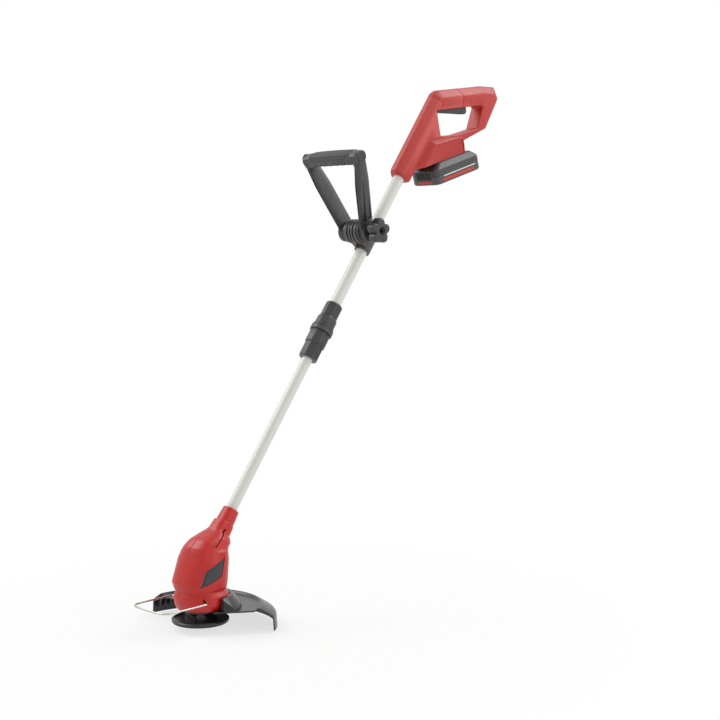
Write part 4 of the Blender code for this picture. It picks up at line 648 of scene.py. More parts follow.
def make(name: str, mesh: Mesh, finish: Finish, body: str,
         replaces: Sequence[str] = (), recipe: Recipe | None = None) -> bpy.types.Object:
    """Makes one visible piece and ties it to its body.

    Args:
        name: The piece's name.
        mesh: Its blank.
        finish: Its finish.
        body: The body that it rides on.
        replaces: The solids that it stands for.
        recipe: Joins, cuts and edge radii.

    Returns:
        The finished object.
    """
    recipe = recipe or Recipe()
    made = to_object(name, mesh, recipe.place)
    tools = []
    for operation, shapes in (("UNION", recipe.joins), ("DIFFERENCE", recipe.cuts)):
        for shape in shapes:
            tool = to_object(name + "_tool", shape, recipe.place)
            tools.append(tool)
            step = made.modifiers.new(operation.title(), "BOOLEAN")
            step.operation = operation
            step.solver = "EXACT"
            step.object = tool
    if recipe.bevel_mm:
        step = made.modifiers.new("Edges", "BEVEL")
        step.width = recipe.bevel_mm * MM
        step.segments = recipe.segments
        step.limit_method = "ANGLE"
        step.angle_limit = radians(recipe.bevel_angle)
        step.use_clamp_overlap = True
        step.miter_outer = "MITER_ARC"
    if made.modifiers:
        settled = bpy.context.evaluated_depsgraph_get()
        data = bpy.data.meshes.new_from_object(made.evaluated_get(settled))
        made.modifiers.clear()
        made.data = data
    for tool in tools:
        bpy.data.objects.remove(tool, do_unlink=True)
    made.data.shade_smooth()
    made.data.set_sharp_from_angle(angle=radians(recipe.crease))
    made.data.materials.clear()
    made.data.materials.append(PAINT.get(finish))
    if recipe.bevel_mm:
        shading = made.modifiers.new("Facets", "WEIGHTED_NORMAL")
        shading.keep_sharp = True
    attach(made, body)
    if replaces:
        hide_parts(*replaces)
    log.info("%s: %d faces on %s", name, len(made.data.polygons), body)
    return made


def dress(node: str, mesh: Mesh, finish: Finish, body: str, slot: str, **how) -> None:
    """Makes the visible piece that stands for one solid.

    Args:
        node: The solid's name.
        mesh: The piece's blank.
        finish: Its finish.
        body: The body that it rides on.
        slot: The record's material slot; not used.
        **how: What Recipe takes.
    """
    make(node + "_dressed", mesh, finish, body, [node], Recipe(**how))


def carve(base: Mesh, shape: Mesh, operation: str = "DIFFERENCE") -> Mesh:
    """Applies one exact Boolean to a mesh, nudging the tool by microns where faces meet too closely.

    Args:
        base: The mesh that is kept.
        shape: The mesh that it is cut, joined or trimmed by.
        operation: DIFFERENCE, UNION or INTERSECT.

    Returns:
        The result as a new mesh.
    """
    for mesh in (base, shape):
        bmesh.ops.recalc_face_normals(mesh, faces=mesh.faces)
    first, second = base.calc_volume(), shape.calc_volume()
    low, high = {"UNION": (max(first, second), first + second), "INTERSECT": (0.0, min(first, second)),
                 "DIFFERENCE": (max(first - second, first * 0.02), first)}[operation]
    kept = to_object("blank", base)
    tool = to_object("tool", shape)
    step = kept.modifiers.new("Carve", "BOOLEAN")
    step.operation = operation
    step.solver = "EXACT"
    step.object = tool
    made = bmesh.new()
    for attempt in range(6):
        tool.location = Vector((7, -11, 5)) * attempt * 1e-6
        bpy.context.view_layer.update()
        data = bpy.data.meshes.new_from_object(kept.evaluated_get(bpy.context.evaluated_depsgraph_get()))
        made.clear()
        made.from_mesh(data)
        bpy.data.meshes.remove(data)
        if low * 0.995 <= made.calc_volume() <= high * 1.005 and made.faces:
            break
    else:
        log.warning("a Boolean stayed open: %s of %g and %g gave %g", operation, first, second,
                    made.calc_volume())
    for item in (kept, tool):
        bpy.data.objects.remove(item, do_unlink=True)
    return made


def soft_levels(low: float, knee: float, half: float, blend: float, rim: float) -> list[Level]:
    """Levels of a chamfered half with a fine seam, a soft crease and a rounded rim.

    Args:
        low: Where the seam's flat is.
        knee: Where the chamfers start.
        half: The half width.
        blend: How far to either side the crease is softened.
        rim: The rim's radius.

    Returns:
        Rows for plate, from the seam outwards.
    """
    width = half - knee
    rows = [(low, 0.0, 0.30 * MM), (low + 0.30 * MM, 0.0, 0.0)]
    rows += [(knee + blend * (step / 2 - 1), blend * (step / 2) ** 2 / (4 * width), 0.0) for step in range(5)]
    for step in (0, 30, 60, 90):
        turn = radians(step)
        depth = half - rim + rim * sin(turn)
        rows.append((depth, (depth - knee) / width, rim * (1 - cos(turn))))
    return rows


def ribbon(points: Pairs, width: float) -> list[Pair]:
    """The outline of a bent strip.

    Args:
        points: Its centre line.
        width: Its width.

    Returns:
        The outline.
    """
    guide = [Vector(point) for point in points]
    sides: tuple[list[Pair], list[Pair]] = ([], [])
    for index, point in enumerate(guide):
        along = (guide[min(index + 1, len(guide) - 1)] - guide[max(index - 1, 0)]).normalized()
        across = Vector((-along.y, along.x)) * width / 2
        sides[0].append(tuple(point - across))
        sides[1].append(tuple(point + across))
    return sides[0] + sides[1][::-1]


def flared(half: float, radius: float) -> list[Level]:
    """Levels of a cutting shape that leave a rounded lip on both faces of a plate.

    Args:
        half: Half the plate's thickness.
        radius: The lip's radius.

    Returns:
        Rows for plate, from one face to the other.
    """
    rows = [(half + 2 * radius, 0.0, -radius * 1.02)]
    for step in (90, 60, 35, 15, 0):
        turn = radians(step)
        rows.append((half - radius + radius * sin(turn), 0.0, -radius * (1 - cos(turn))))
    return [(-depth, share, extra) for depth, share, extra in rows] + rows[::-1]


def add_loose(base: Mesh, extra: Mesh) -> Mesh:
    """Adds a shape that overlaps another without joining their faces."""
    data = bpy.data.meshes.new("loose")
    extra.to_mesh(data)
    base.from_mesh(data)
    bpy.data.meshes.remove(data)
    return base


def signed_power(value: float, power: float) -> float:
    """A power that keeps the sign, for superellipses."""
    return abs(value) ** power * (1 if value >= 0 else -1)


@dataclass(frozen=True)
class Station:
    """One cross-section of the motor housing."""

    y: float
    z: float
    half_x: float
    half_y: float
    tilt: float
    power: float

    def numbers(self) -> tuple[float, ...]:
        """The station's values in order."""
        return self.y, self.z, self.half_x, self.half_y, self.tilt, self.power


def blended(stations: Sequence[Station], step: float, radius: float) -> list[Station]:
    """Resamples stations closely and rounds the edges between them.

    Args:
        stations: The sparse stations.
        step: Distance between the new ones.
        radius: How far to either side each one is averaged.

    Returns:
        The dense stations.
    """
    runs = [0.0]
    for low, high in zip(stations, stations[1:]):
        rise = hypot(high.y - low.y, high.z - low.z, high.half_x - low.half_x, high.half_y - low.half_y)
        runs.append(runs[-1] + rise)

    def at(run: float) -> list[float]:
        """The station's numbers at a distance along the housing."""
        run = min(max(run, 0.0), runs[-1])
        index = max(i for i in range(len(stations) - 1) if runs[i] <= run)
        share = (run - runs[index]) / (runs[index + 1] - runs[index])
        pair = zip(stations[index].numbers(), stations[index + 1].numbers())
        return [low + (high - low) * share for low, high in pair]

    count = int(runs[-1] / step)
    dense = []
    for index in range(count + 1):
        run = runs[-1] * index / count
        reach = min(radius, run, runs[-1] - run)
        samples = [at(run + reach * k / 3) for k in range(-3, 4)]
        dense.append(Station(*[sum(values) / len(samples) for values in zip(*samples)]))
    return dense


@dataclass
class Screws:
    """Pan-head screws with a cross recess, driven along X from the right side."""

    radius: float = 1.5 * MM
    head_radius: float = 3.0 * MM
    head_height: float = 1.8 * MM
    head_at: float = -12.3 * MM
    tip: float = 12.0 * MM
    turns: int = 18
    pitch: float = 1.2
    pocket: float = 3.3 * MM
    hole: float = 1.8 * MM

    def blank(self, y: float, z: float) -> Mesh:
        """One screw along X.

        Args:
            y: Its axis's y.
            z: Its axis's z.

        Returns:
            The screw's mesh.
        """
        top = self.head_at - self.head_height
        profile = [(self.head_radius * 0.45, top), (self.head_radius * 0.80, top + 0.25 * MM),
                   (self.head_radius, top + 0.9 * MM), (self.head_radius, self.head_at),
                   (self.radius, self.head_at)]
        for index in range(self.turns):
            start = self.head_at + (2 + index * self.pitch) * MM
            profile += [(self.radius, start), (self.radius * 0.80, start + 0.5 * MM),
                        (self.radius, start + 1 * MM)]
        profile += [(self.radius * 0.9, self.tip - 0.4 * MM), (self.radius * 0.4, self.tip)]
        screw = turned(profile, 32, place=along_x(0.0, y, z))
        for wide, tall in CROSS:
            screw = carve(screw, box((top - 1 * MM, top + 1.1 * MM), span(y, wide), span(z, tall)))
        return screw

    def holes(self, places: Pairs) -> list[Mesh]:
        """The head pocket and the shank's hole at each of the screws' (y, z)."""
        return ([rod_x(self.pocket, -0.08, -0.012, y, z, 32) for y, z in places]
                + [rod_x(self.hole, -0.02, 0.013, y, z, 24) for y, z in places])

    def build(self, name: str, places: Pairs, body: str, place: Matrix = WORLD) -> None:
        """Makes and dresses a row of screws.

        Args:
            name: The nodes' name without its number.
            places: The screws' (y, z).
            body: The body that they ride on.
            place: Frame that the places are in.
        """
        for index, (y, z) in enumerate(places):
            dress(f"{name}_{index + 1}", self.blank(y, z), Finish.ZINC, body, "zinc_steel", place=place,
                  crease=35)


@dataclass
class MotorHead:
    """The red motor housing: two half shells, bare badges, vents, neck rings and screws."""

    bottom: float = 0.041
    skirt: float = 0.054
    body: float = 0.0505
    wall: float = 2.6 * MM
    neck: float = 15.7 * MM
    tube_bore: float = 11.3 * MM
    tube_start: float = 0.088
    neck_end: float = 0.134
    shaft_opening: float = 12.0 * MM
    badge_depth: float = 1.0 * MM
    wire_at: Pair = (-0.027, 0.0585)
    wire_hole: float = 2.2 * MM
    badge: Pairs = ((-0.032, 0.0890), (0.0115, 0.1055), (0.0215, 0.1395), (-0.0190, 0.1180))
    vent: Pairs = ((0.0030, 0.1600), (0.0095, 0.1585), (0.0500, 0.1838), (0.0490, 0.1868), (0.0380, 0.1822),
                   (0.0370, 0.1796), (0.0290, 0.1768), (0.0280, 0.1742), (0.0200, 0.1716), (0.0190, 0.1690),
                   (0.0110, 0.1664), (0.0100, 0.1642), (0.0035, 0.1625))
    badge_margin: float = 0.9 * MM
    vent_deep: float = 4.2 * MM
    # The flat down each side's front: where it turns to the side and where it fades, by height,
    # and its bearings in degrees
    flat_turns: Pair = (0.060, 0.140)
    flat_fades: tuple[Pair, Pair] = ((0.050, 0.064), (0.172, 0.150))
    flat_from: float = -70.0
    flat_swing: float = 26.0
    flat_half: float = 21.0
    flat_ease: float = 70.0
    # The seam between the halves: its half gap, the groove's half width and its depth low and high
    seam: float = 0.03 * MM
    lip: float = 1.0 * MM
    groove: Pair = (0.8 * MM, 0.3 * MM)
    groove_change: float = 0.165

    def stations(self) -> list[Station]:
        """The housing's stations from its flange to the end of its neck."""
        low, skirt, body, neck, lean = self.bottom, self.skirt, self.body, self.neck, 36.6
        rows = [
            (0.002, low, skirt - 0.006, skirt - 0.007, 0.0, 2.0),
            (0.002, low + 0.010, skirt - 0.001, skirt - 0.003, 0.0, 2.0),
            (0.002, low + 0.016, skirt, skirt - 0.002, 0.0, 2.1),
            (0.001, low + 0.026, skirt - 0.001, skirt - 0.0025, 0.0, 2.2),
            (0.000, low + 0.0345, body - 0.0036, body - 0.0046, 0.0, 2.3),
            (0.000, low + 0.0395, body - 0.0014, body - 0.0022, 0.0, 2.35),
            (-0.001, low + 0.052, body + 0.0005, body, 0.0, 2.4),
            (0.0045, low + 0.075, body, body - 0.0045, 0.0, 2.4),
            (0.0085, low + 0.092, body - 0.0005, body - 0.0075, 0.0, 2.4),
            (0.012, low + 0.108, body - 0.0045, body - 0.011, 0.0, 2.4),
            (*pole_point(-0.0142, 0.0461), body - 0.009, body - 0.0118, lean * 0.18, 2.4),
            (*pole_point(-0.0115, 0.0570), body - 0.0135, body - 0.0155, lean * 0.43, 2.4),
            (*pole_point(-0.0049, 0.0691), body - 0.0175, body - 0.0224, lean * 0.69, 2.4),
            (*pole_point(-0.0012, 0.0785), neck + 0.0110, neck + 0.0064, lean, 2.5),
            (*pole_point(-0.0018, self.neck_end - 0.050), neck + 0.0040, neck + 0.0050, lean, 2.7),
            (*pole_point(-0.0014, self.neck_end - 0.030), neck + 0.0026, neck + 0.0034, lean, 2.7),
            (*pole_point(0.0, self.neck_end - 0.029), neck + 0.0016, neck + 0.0016, lean, 2.3),
            (*pole_point(0.0, self.neck_end), neck, neck, lean, 2.2),
        ]
        return [Station(*row) for row in rows]

    def flat(self, angle: float, height: float) -> float:
        """How far a ring is drawn in by the flat down the front of each side.

        Args:
            angle: Round the ring from the side, in radians; the front is -pi / 2.
            height: Above the ground.

        Returns:
            A share of the ring's reach, at most 1.
        """
        fade = ramp(height, *self.flat_fades[0]) * ramp(height, *self.flat_fades[1])
        wide = radians(self.flat_half)
        turn = angle - radians(self.flat_from + self.flat_swing * ramp(height, *self.flat_turns))
        if turn <= 0:
            return 1.0
        reach = cos(wide) / cos(turn - wide) if turn < wide else cos(wide)
        if turn > wide:
            ease = min((turn - wide) / radians(self.flat_ease), 1.0)
            reach += (1 - cos(wide)) * ease * ease * (3 - 2 * ease)
        return 1 - (1 - reach) * fade

    def skin_point(self, station: Station, angle: float, bearing: float, shrink: float, sign: int = 1,
                   dip: float = 0.0) -> Vector:
        """One point of the housing's skin.

        Args:
            station: The cross-section.
            angle: Round the section, from the side.
            bearing: The same angle, folded to the side's own half.
            shrink: How far the point is moved inwards.
            sign: 1 or -1, for the half that it is on.
            dip: How much deeper it lies in the seam's groove.

        Returns:
            The point.
        """
        flat, lean = self.flat(bearing, station.z), radians(station.tilt)
        across = flat * (station.half_x - shrink) * signed_power(cos(angle), 2 / station.power) * sign
        back = flat * (station.half_y - shrink - dip) * signed_power(sin(angle), 2 / station.power)
        return Vector((across, station.y + back * cos(lean), station.z - back * sin(lean)))

    def half_rings(self, side: Side, shrink: float, steps: int = 144, seam: float | None = None,
                   last: int | None = None) -> list[list[Vector]]:
        """Rings of one half of the housing, closed by a flat on the seam.

        Args:
            side: Which half.
            shrink: How far the rings are moved inwards.
            steps: Points round a whole ring.
            seam: Where the flat is, from the middle plane, or None for the housing's own.
            last: The last sparse station used, or None for all.

        Returns:
            The rings, from the flange up.
        """
        seam = self.seam if seam is None else seam
        angles = [tau * k / steps for k in range(-steps // 4 + 2, steps // 4 - 1)]
        rings = []
        for station in blended(self.stations()[:last], 1.4 * MM, 1.0 * MM):
            reach = station.half_x - shrink
            ends = [pi / 2 - (width / reach) ** (station.power / 2) for width in (seam, self.lip)]
            deep = self.groove[0] if station.z < self.groove_change else self.groove[1]
            # Only the two points on the seam lie in the groove
            first = [deep if shrink == 0 else 0.0, *[0.0] * (len(angles) + 3)]
            turns = [-end for end in ends] + angles + ends[::-1]
            rings.append([self.skin_point(station, turn, turn, shrink, side.value, max(dips))
                          for turn, *dips in zip(turns, first, first[::-1])])
        return rings

    def skin_slab(self, corners: Pairs, margin: float, out: float, deep: float) -> Mesh:
        """A slab of the housing's skin within an outline.

        Args:
            corners: The outline in the side view.
            margin: How much wider than the outline it is.
            out: How far outside the skin it starts.
            deep: How far inside the skin it ends.

        Returns:
            The slab, on both sides of the housing.
        """
        slab = prism(inset(corners, [-margin] * len(corners)), -0.08, 0.08, View.SIDE)
        for shrink, operation in ((-out, "INTERSECT"), (deep, "DIFFERENCE")):
            slab = carve(slab, loft(self.whole_rings(shrink)), operation)
        return slab

    def whole_rings(self, shrink: float, steps: int = 96) -> list[list[Vector]]:
        """Full rings of the housing, moved inwards, for trimming other shapes to its skin."""
        angles = [tau * index / steps for index in range(steps)]
        folded = [asin(max(-1.0, min(1.0, sin(angle)))) for angle in angles]
        return [[self.skin_point(station, *pair, shrink) for pair in zip(angles, folded)]
                for station in blended(self.stations(), 1.6 * MM, 1.0 * MM)]

    def screw_places(self) -> list[Pair]:
        """The housing screws' (y, z)."""
        low = self.bottom
        return [(-0.036, low + 0.020), (0.038, low + 0.034), (-0.026, low + 0.094), (0.040, low + 0.108)]

    def build_shell(self, side: Side) -> None:
        """Makes one half shell.

        Args:
            side: Which half.
        """
        shell = loft(self.half_rings(side, 0.0))
        inner = self.half_rings(side, self.wall, 96, seam=0.0, last=14)
        floor = self.bottom + self.wall
        inner = [ring for ring in inner if ring[0].z > floor + 0.2 * MM]
        inner.insert(0, [Vector((p.x, p.y, floor)) for p in inner[0]])
        cavity = loft([[Vector((p.x - side.value * 0.5 * MM, p.y, p.z)) for p in ring] for ring in inner])
        bore = turned([(self.tube_bore, self.tube_start - 1 * MM), (self.tube_bore, self.neck_end + 0.01)], 96,
                      place=POLE)
        shaft = turned([(self.shaft_opening, 0.03), (self.shaft_opening, 0.05)], 64)
        margin, deep = self.badge_margin, self.vent_deep
        pocket = self.skin_slab(self.badge, margin, 4 * MM, self.badge_depth + 0.3 * MM)
        # A fine raised rim runs round the badge
        rim = carve(self.skin_slab(self.badge, 2.6 * MM, 0.55 * MM, 0.8 * MM),
                    self.skin_slab(self.badge, margin, 4 * MM, 6 * MM))
        # The vent is a stepped cup, deeper than the wall, with its own floor
        vent = self.skin_slab(self.vent, 0.0, 4 * MM, deep)
        cup = carve(self.skin_slab(self.vent, 1.5 * MM, -1.6 * MM, deep + 1.4 * MM),
                    self.skin_slab(self.vent, 0.0, 4 * MM, deep))
        half = box(side.reach(0.01, 0.08), (-0.1, 0.1), (0.0, 0.3))
        rim = add_loose(carve(rim, half.copy(), "INTERSECT"), carve(cup, half, "INTERSECT"))
        # The wedge notch above each end of the plant guard's wire
        notch = prism([(-0.0280, 0.0565), (-0.0215, 0.0570), (-0.0275, 0.0700)], -0.08, 0.08, View.SIDE)
        cuts = [cavity, bore, shaft, rod_x(self.wire_hole, -0.08, 0.08, *self.wire_at, steps=32), notch,
                *Screws().holes(self.screw_places()), pocket, vent]
        for shape in cuts:
            shell = carve(shell, shape)
        dress("motor_housing_" + side.label, add_loose(shell, rim), Finish.RED_ABS, "head", "red_housing",
              crease=38)

    def build_badge(self, side: Side) -> None:
        """Makes one bare badge plate.

        Args:
            side: Which side it is on.
        """
        half = box(side.reach(0.01, 0.07), (-0.05, 0.08), (0.05, 0.15))
        edge = self.skin_slab(self.badge, 0.3 * MM, -0.5 * MM, self.badge_depth)
        raised = self.skin_slab(self.badge, -2.2 * MM, 0.2 * MM, self.badge_depth - 0.2 * MM)
        badge = carve(carve(edge, raised, "UNION"), half, "INTERSECT")
        dress("badge_" + side.label, badge, Finish.BADGE_SATIN, "head", "black_nylon", crease=40)

    def build(self) -> None:
        """Makes the housing, its badges and its screws."""
        for side in Side:
            self.build_shell(side)
            self.build_badge(side)
        Screws().build("housing_screw", self.screw_places(), "head")


@dataclass
class Cutter:
    """The cutter disc with its hub, pocket, peg, cap and swinging blade."""

    radius: float = 0.055
    low: float = 12 * MM
    glide: float = 11 * MM
    rim: float = 7 * MM
    crown: float = 0.030
    hub: float = 0.024
    hub_top: float = 0.0397
    seat: float = 0.016
    bore: float = 2.65 * MM
    peg_circle: float = 0.038
    peg_bearing: float = 140.3
    peg_radius: float = 2.5 * MM
    slot: Pair = (13.8 * MM, 18.2 * MM)
    blade_length: float = 0.083
    blade_width: float = 10 * MM
    blade_thickness: float = 2.8 * MM
    swing: float = 58.0
    # The crescent pocket at the front: its bearings, and (radius at the tips, swell in the middle) of its edges
    crescent_from: float = -168.0
    crescent_sweep: float = 132.0
    crescent_edges: tuple[Pair, Pair] = ((0.0425, -0.0165), (0.0430, 0.0070))

    @property
    def peg(self) -> Pair:
        """The blade peg's (x, y)."""
        bearing = radians(self.peg_bearing)
        return self.peg_circle * cos(bearing), self.peg_circle * sin(bearing)

    def fan(self) -> Mesh:
        """The room that the blade sweeps inside the disc."""
        room, swing, reach = self.blade_width / 2 + 1 * MM, radians(self.swing), self.radius
        upper = [(-room * sin(swing), room * cos(swing)),
                 (reach * cos(swing) - room * sin(swing), reach * sin(swing) + room * cos(swing))]
        lower = [(x, -y) for x, y in reversed(upper)]
        outline = [(-room * 1.15, 0.0), lower[1], lower[0], (reach, lower[0][1]), (reach, upper[1][1]),
                   upper[1], upper[0]]
        fan = prism(outline, *self.slot, View.PLAN)
        fan.transform(move(*self.peg, 0) @ Matrix.Rotation(radians(self.peg_bearing), 4, "Z"))
        return fan

    def build_disc(self) -> None:
        """Makes the disc."""
        low, rim = self.low, self.low + self.rim
        profile = [
            (self.seat, low), *from_corner(self.radius, low, (-3.6, 0), (-1.2, 0.6), (-0.2, 2.0), (0, 3.2)),
            *from_corner(self.radius, rim, (0, -0.8), (-0.8, 0), (-2.2, 0), (-3.0, 1.0), (-4.6, 1.3)),
            *from_corner(self.hub, self.crown, (12.5, -5.0), (3.5, -1.2), (0.6, 1.2), (0, 4)),
            *from_corner(self.hub, self.hub_top, (0, -0.8), (-0.8, 0)),
            (self.bore, self.hub_top), (self.bore, low + 4 * MM), (self.seat, low + 4 * MM),
        ]
        disc = turned(profile, 160, hollow=True)
        peg = turned([(self.peg_radius, self.slot[0] - 1 * MM), (self.peg_radius, self.slot[1] + 1 * MM)], 32,
                     place=move(*self.peg, 0))
        pocket = turned([(0.013, self.slot[1] + 2 * MM), (0.016, 0.05)], 64,
                        place=move(-self.peg[0], -self.peg[1], 0))
        disc = carve(carve(disc, self.fan()), peg, "UNION")
        crescent = []
        for index in range(41):
            bearing = radians(self.crescent_from + self.crescent_sweep * index / 40)
            ease = sin(pi * index / 40) ** 0.5
            inner, outer = (tip + swell * ease for tip, swell in self.crescent_edges)
            section = [*((radius, rim + 0.2 * MM) for radius in (inner, outer)),
                       (outer + 0.8 * MM, 0.05), (inner - 0.6 * MM, 0.05)]
            crescent.append([Vector((r * cos(bearing), r * sin(bearing), z)) for r, z in section])
        crescent = loft(crescent)
        dress("cutter_disc", disc, Finish.BLACK_PP, "cutter", "black_nylon", cuts=[pocket, crescent],
              bevel_mm=0.6, bevel_angle=35, segments=2, crease=35)

    def build_cap(self) -> None:
        """Makes the fluted glide cap under the disc."""
        radius, low = self.seat - 0.3 * MM, self.low / MM
        foot = (radius - self.glide) / MM
        rings = []
        for height, drop in ((0.0, foot + 1.2), (0.4, foot + 0.4), (1.2, foot), (low - 1.0, 0.6), (low, 0.0),
                             (low + 2.5, 0.0)):
            ring = []
            for index in range(144):
                angle = tau * index / 144
                wave = 0.30 * MM if index % 6 < 3 else 0.0
                reach = radius - drop * MM - wave
                ring.append(Vector((reach * cos(angle), reach * sin(angle), height * MM)))
            rings.append(ring)
        dress("cutter_cap", loft(rings), Finish.BLACK_PP, "cutter", "black_nylon", crease=40)

    def build_blade(self) -> None:
        """Makes the swinging blade with its eye and thinned cutting edge."""
        half = self.blade_width / 2
        eye = [(half * cos(radians(a)), half * sin(radians(a))) for a in range(90, 271, 9)]
        outline = [*eye, (self.blade_length - 0.012, -half * 0.9), (self.blade_length - 0.002, -half * 0.05),
                   (self.blade_length, half * 0.2), (self.blade_length - 0.003, half * 0.8)]
        low = self.slot[0] + (self.slot[1] - self.slot[0] - self.blade_thickness) / 2
        high = low + self.blade_thickness
        thin = [0.0] * len(eye) + [2.2 * MM, 1.6 * MM, 1.0 * MM, 0.0]
        thin[len(eye) - 1] = 1.4 * MM
        levels = [(low, 1, 0.25 * MM), (low + 0.9 * MM, 0, 0), (high - 0.9 * MM, 0, 0), (high, 1, 0.25 * MM)]
        blade = plate(outline, levels, View.PLAN, thin)
        hole = turned([(self.peg_radius + 0.4 * MM, 0.0), (self.peg_radius + 0.4 * MM, 0.02)], 32)
        groove = box((0.014, self.blade_length - 0.020), (-1.1 * MM, 1.1 * MM), (high - 0.5 * MM, high + 1 * MM))
        place = move(*self.peg, 0) @ Matrix.Rotation(radians(self.peg_bearing), 4, "Z")
        dress("cutting_blade", blade, Finish.BLADE_NYLON, "blade", "blade_nylon", cuts=[hole, groove],
              place=place, crease=30)

    def build(self) -> None:
        """Makes the cutter's pieces."""
        self.build_disc()
        self.build_cap()
        self.build_blade()


@dataclass
class DebrisShield:
    """The half-round black shield with its lip and the collar that hugs the housing."""

    radius: float = 0.1472
    thick: float = 2.7 * MM
    top: float = 40.7 * MM
    lip_bottom: float = 0.5 * MM
    start: float = 77.0
    end: float = 270.0
    collar_inner: float = 56.5 * MM
    collar_top: float = 0.066
    screws: Pairs = ((0.030, 0.026), (-0.030, 0.026))

    def section(self) -> list[Pair]:
        """The shield's radial section as (radius, height), with rounded bends."""
        r, top, thick = self.radius, self.top, self.thick
        line = [
            (0.027, top), *from_corner(r, top, (-36.8, 0), (-35.2, 0.6), (-32.2, 3.8), (-30.5, 4.5), (-28.5, 4.3),
                                       (-25.6, 3.0), (-6.6, -9.0), (-4.6, -10.8), (-2.1, -14.4), (-1.4, -17.0)),
            (r - 0.3 * MM, 6.5 * MM), (r, 5.8 * MM), *from_corner(r, self.lip_bottom, (0, 0.6), (-0.6, 0)),
        ]
        under = [(r - thick + 0.5 * MM, self.lip_bottom), (r - thick, self.lip_bottom + 0.6 * MM)]
        for radius, height in reversed(line[:10]):
            drop = thick if radius < r - 0.005 else thick * 1.4
            shift = 0.0 if radius < r - 0.010 else thick * 0.7
            under.append((radius - shift, height - drop))
        return line + under

    def sweep(self, section: Pairs, start: float, end: float, count: int) -> Mesh:
        """Sweeps a section about Z.

        Args:
            section: The (radius, height) outline.
            start: First bearing from the front, in degrees.
            end: Last bearing.
            count: Steps between them.

        Returns:
            The swept solid.
        """
        rings = []
        for index in range(count + 1):
            bearing = radians(start + (end - start) * index / count)
            rings.append([Vector((r * sin(bearing), -r * cos(bearing), z)) for r, z in section])
        return loft(rings)

    def build(self) -> None:
        """Makes the shield and its two screws."""
        shield = self.sweep(self.section(), self.start, self.end, 120)
        inner = self.collar_inner
        collar = [
            (inner, self.top - 1 * MM), (inner + 0.023, self.top - 1 * MM), (inner + 0.0205, 0.049),
            *from_corner(inner, self.collar_top, (8.5, -4), (5.5, 0), (0, 0)),
        ]
        collar = self.sweep(collar, self.start + 16, self.end - 8, 100)
        high = self.collar_top
        slope = [(-0.10, high - 0.030), (-0.10, 0.2), (0.3, 0.2), (0.3, high + 0.12)]
        collar = carve(collar, prism(slope[::-1], -0.2, 0.2, View.SIDE))
        edge = [(0.053, -0.012), (0.090, 0.036), (0.100, 0.052), (0.120, 0.077), (0.20, 0.14), (0.20, -0.10)]
        edge = prism(edge[::-1], -0.05, 0.2, View.PLAN)
        # Ribs inside the closed end, five degrees apart
        rib = [*from_corner(self.radius, self.top, (-20.0, -8), (-4.5, -14)),
               *from_corner(self.radius, 0.0, (-3.5, 12), (-12.0, 14))]
        joins = [collar]
        for index in range(5):
            bearing = self.end - 3 - 5 * index
            joins.append(self.sweep(rib, bearing - 0.9, bearing, 2))
        cuts = [edge]
        for x, y in self.screws:
            cuts.append(turned([(1.8 * MM, 0.03), (1.8 * MM, 0.05)], 24, place=move(x, y, 0)))
        dress("debris_shield", shield, Finish.BLACK_PP, "head", "black_housing", joins=joins, cuts=cuts,
              bevel_mm=0.9, bevel_angle=35, crease=35)
        under = self.top - self.thick - 0.3 * MM
        for (x, y), side in zip(self.screws, Side):
            profile = [*from_corner(0.0, under, (1.4, -1.8), (2.5, -1.5), (3, -0.9), (3, 0), (1.5, 0)),
                       (1.5 * MM, 0.046)]
            recess = [box(span(x, a), span(y, b), (under - 0.003, under - 0.7 * MM)) for a, b in CROSS]
            dress("shield_screw_" + side.label, turned(profile, 32, place=move(x, y, 0)),
                  Finish.ZINC, "head", "zinc_steel", cuts=recess, crease=35)


@dataclass
class PlantGuard:
    """The sprung wire bow in front of the head."""

    radius: float = 1.8 * MM
    pivot: Pair = (-0.027, 0.0585)
    reach: float = 0.099
    half: float = 0.05106
    bend: float = 0.018

    def build(self) -> None:
        """Makes the bow."""
        half, reach, bend = self.half, self.reach, self.bend
        route = [
            (half - 0.0085, 0.0, 0.0), (half - 0.003, 0.0, 0.0), (half, -0.003, 0.0), (half, -reach * 0.4, 0.0),
            (half - 0.001, -reach + bend, 0.0), (half - bend * 0.35, -reach + bend * 0.3, 0.0),
            (half - bend, -reach, 0.0), (0.0, -reach - 0.002, 0.0),
        ]
        route += [(-x, y, z) for x, y, z in reversed(route[:-1])]
        bow = wire(smooth_route(route, 9), self.radius, 20)
        make("plant_guard_dressed", bow, Finish.SPRING_STEEL, "plant_guard", ["plant_guard_wire"],
             Recipe(place=move(0, *self.pivot), crease=60))


@dataclass
class PoleTubes:
    """The two painted tubes, the lower one sliding in the upper one."""

    wall: float = 1.2 * MM
    lower: float = 11.0 * MM
    upper: float = 12.6 * MM

    def build(self, spans: dict[str, Pair]) -> None:
        """Makes both tubes.

        Args:
            spans: Each node's (low, high) along the pole.
        """
        for node, radius, body in (("lower_tube", self.lower, "head"), ("upper_tube", self.upper, "pole_upper")):
            low, high = spans[node]
            bore, soft = radius - self.wall, 0.3 * MM
            profile = [(radius - soft, low), (radius, low + soft), (radius, high - soft), (radius - soft, high),
                       (bore, high), (bore, low)]
            dress(node, turned(profile, 96, hollow=True), Finish.TUBE_PAINT, body, "white_tube", place=POLE,
                  crease=40)


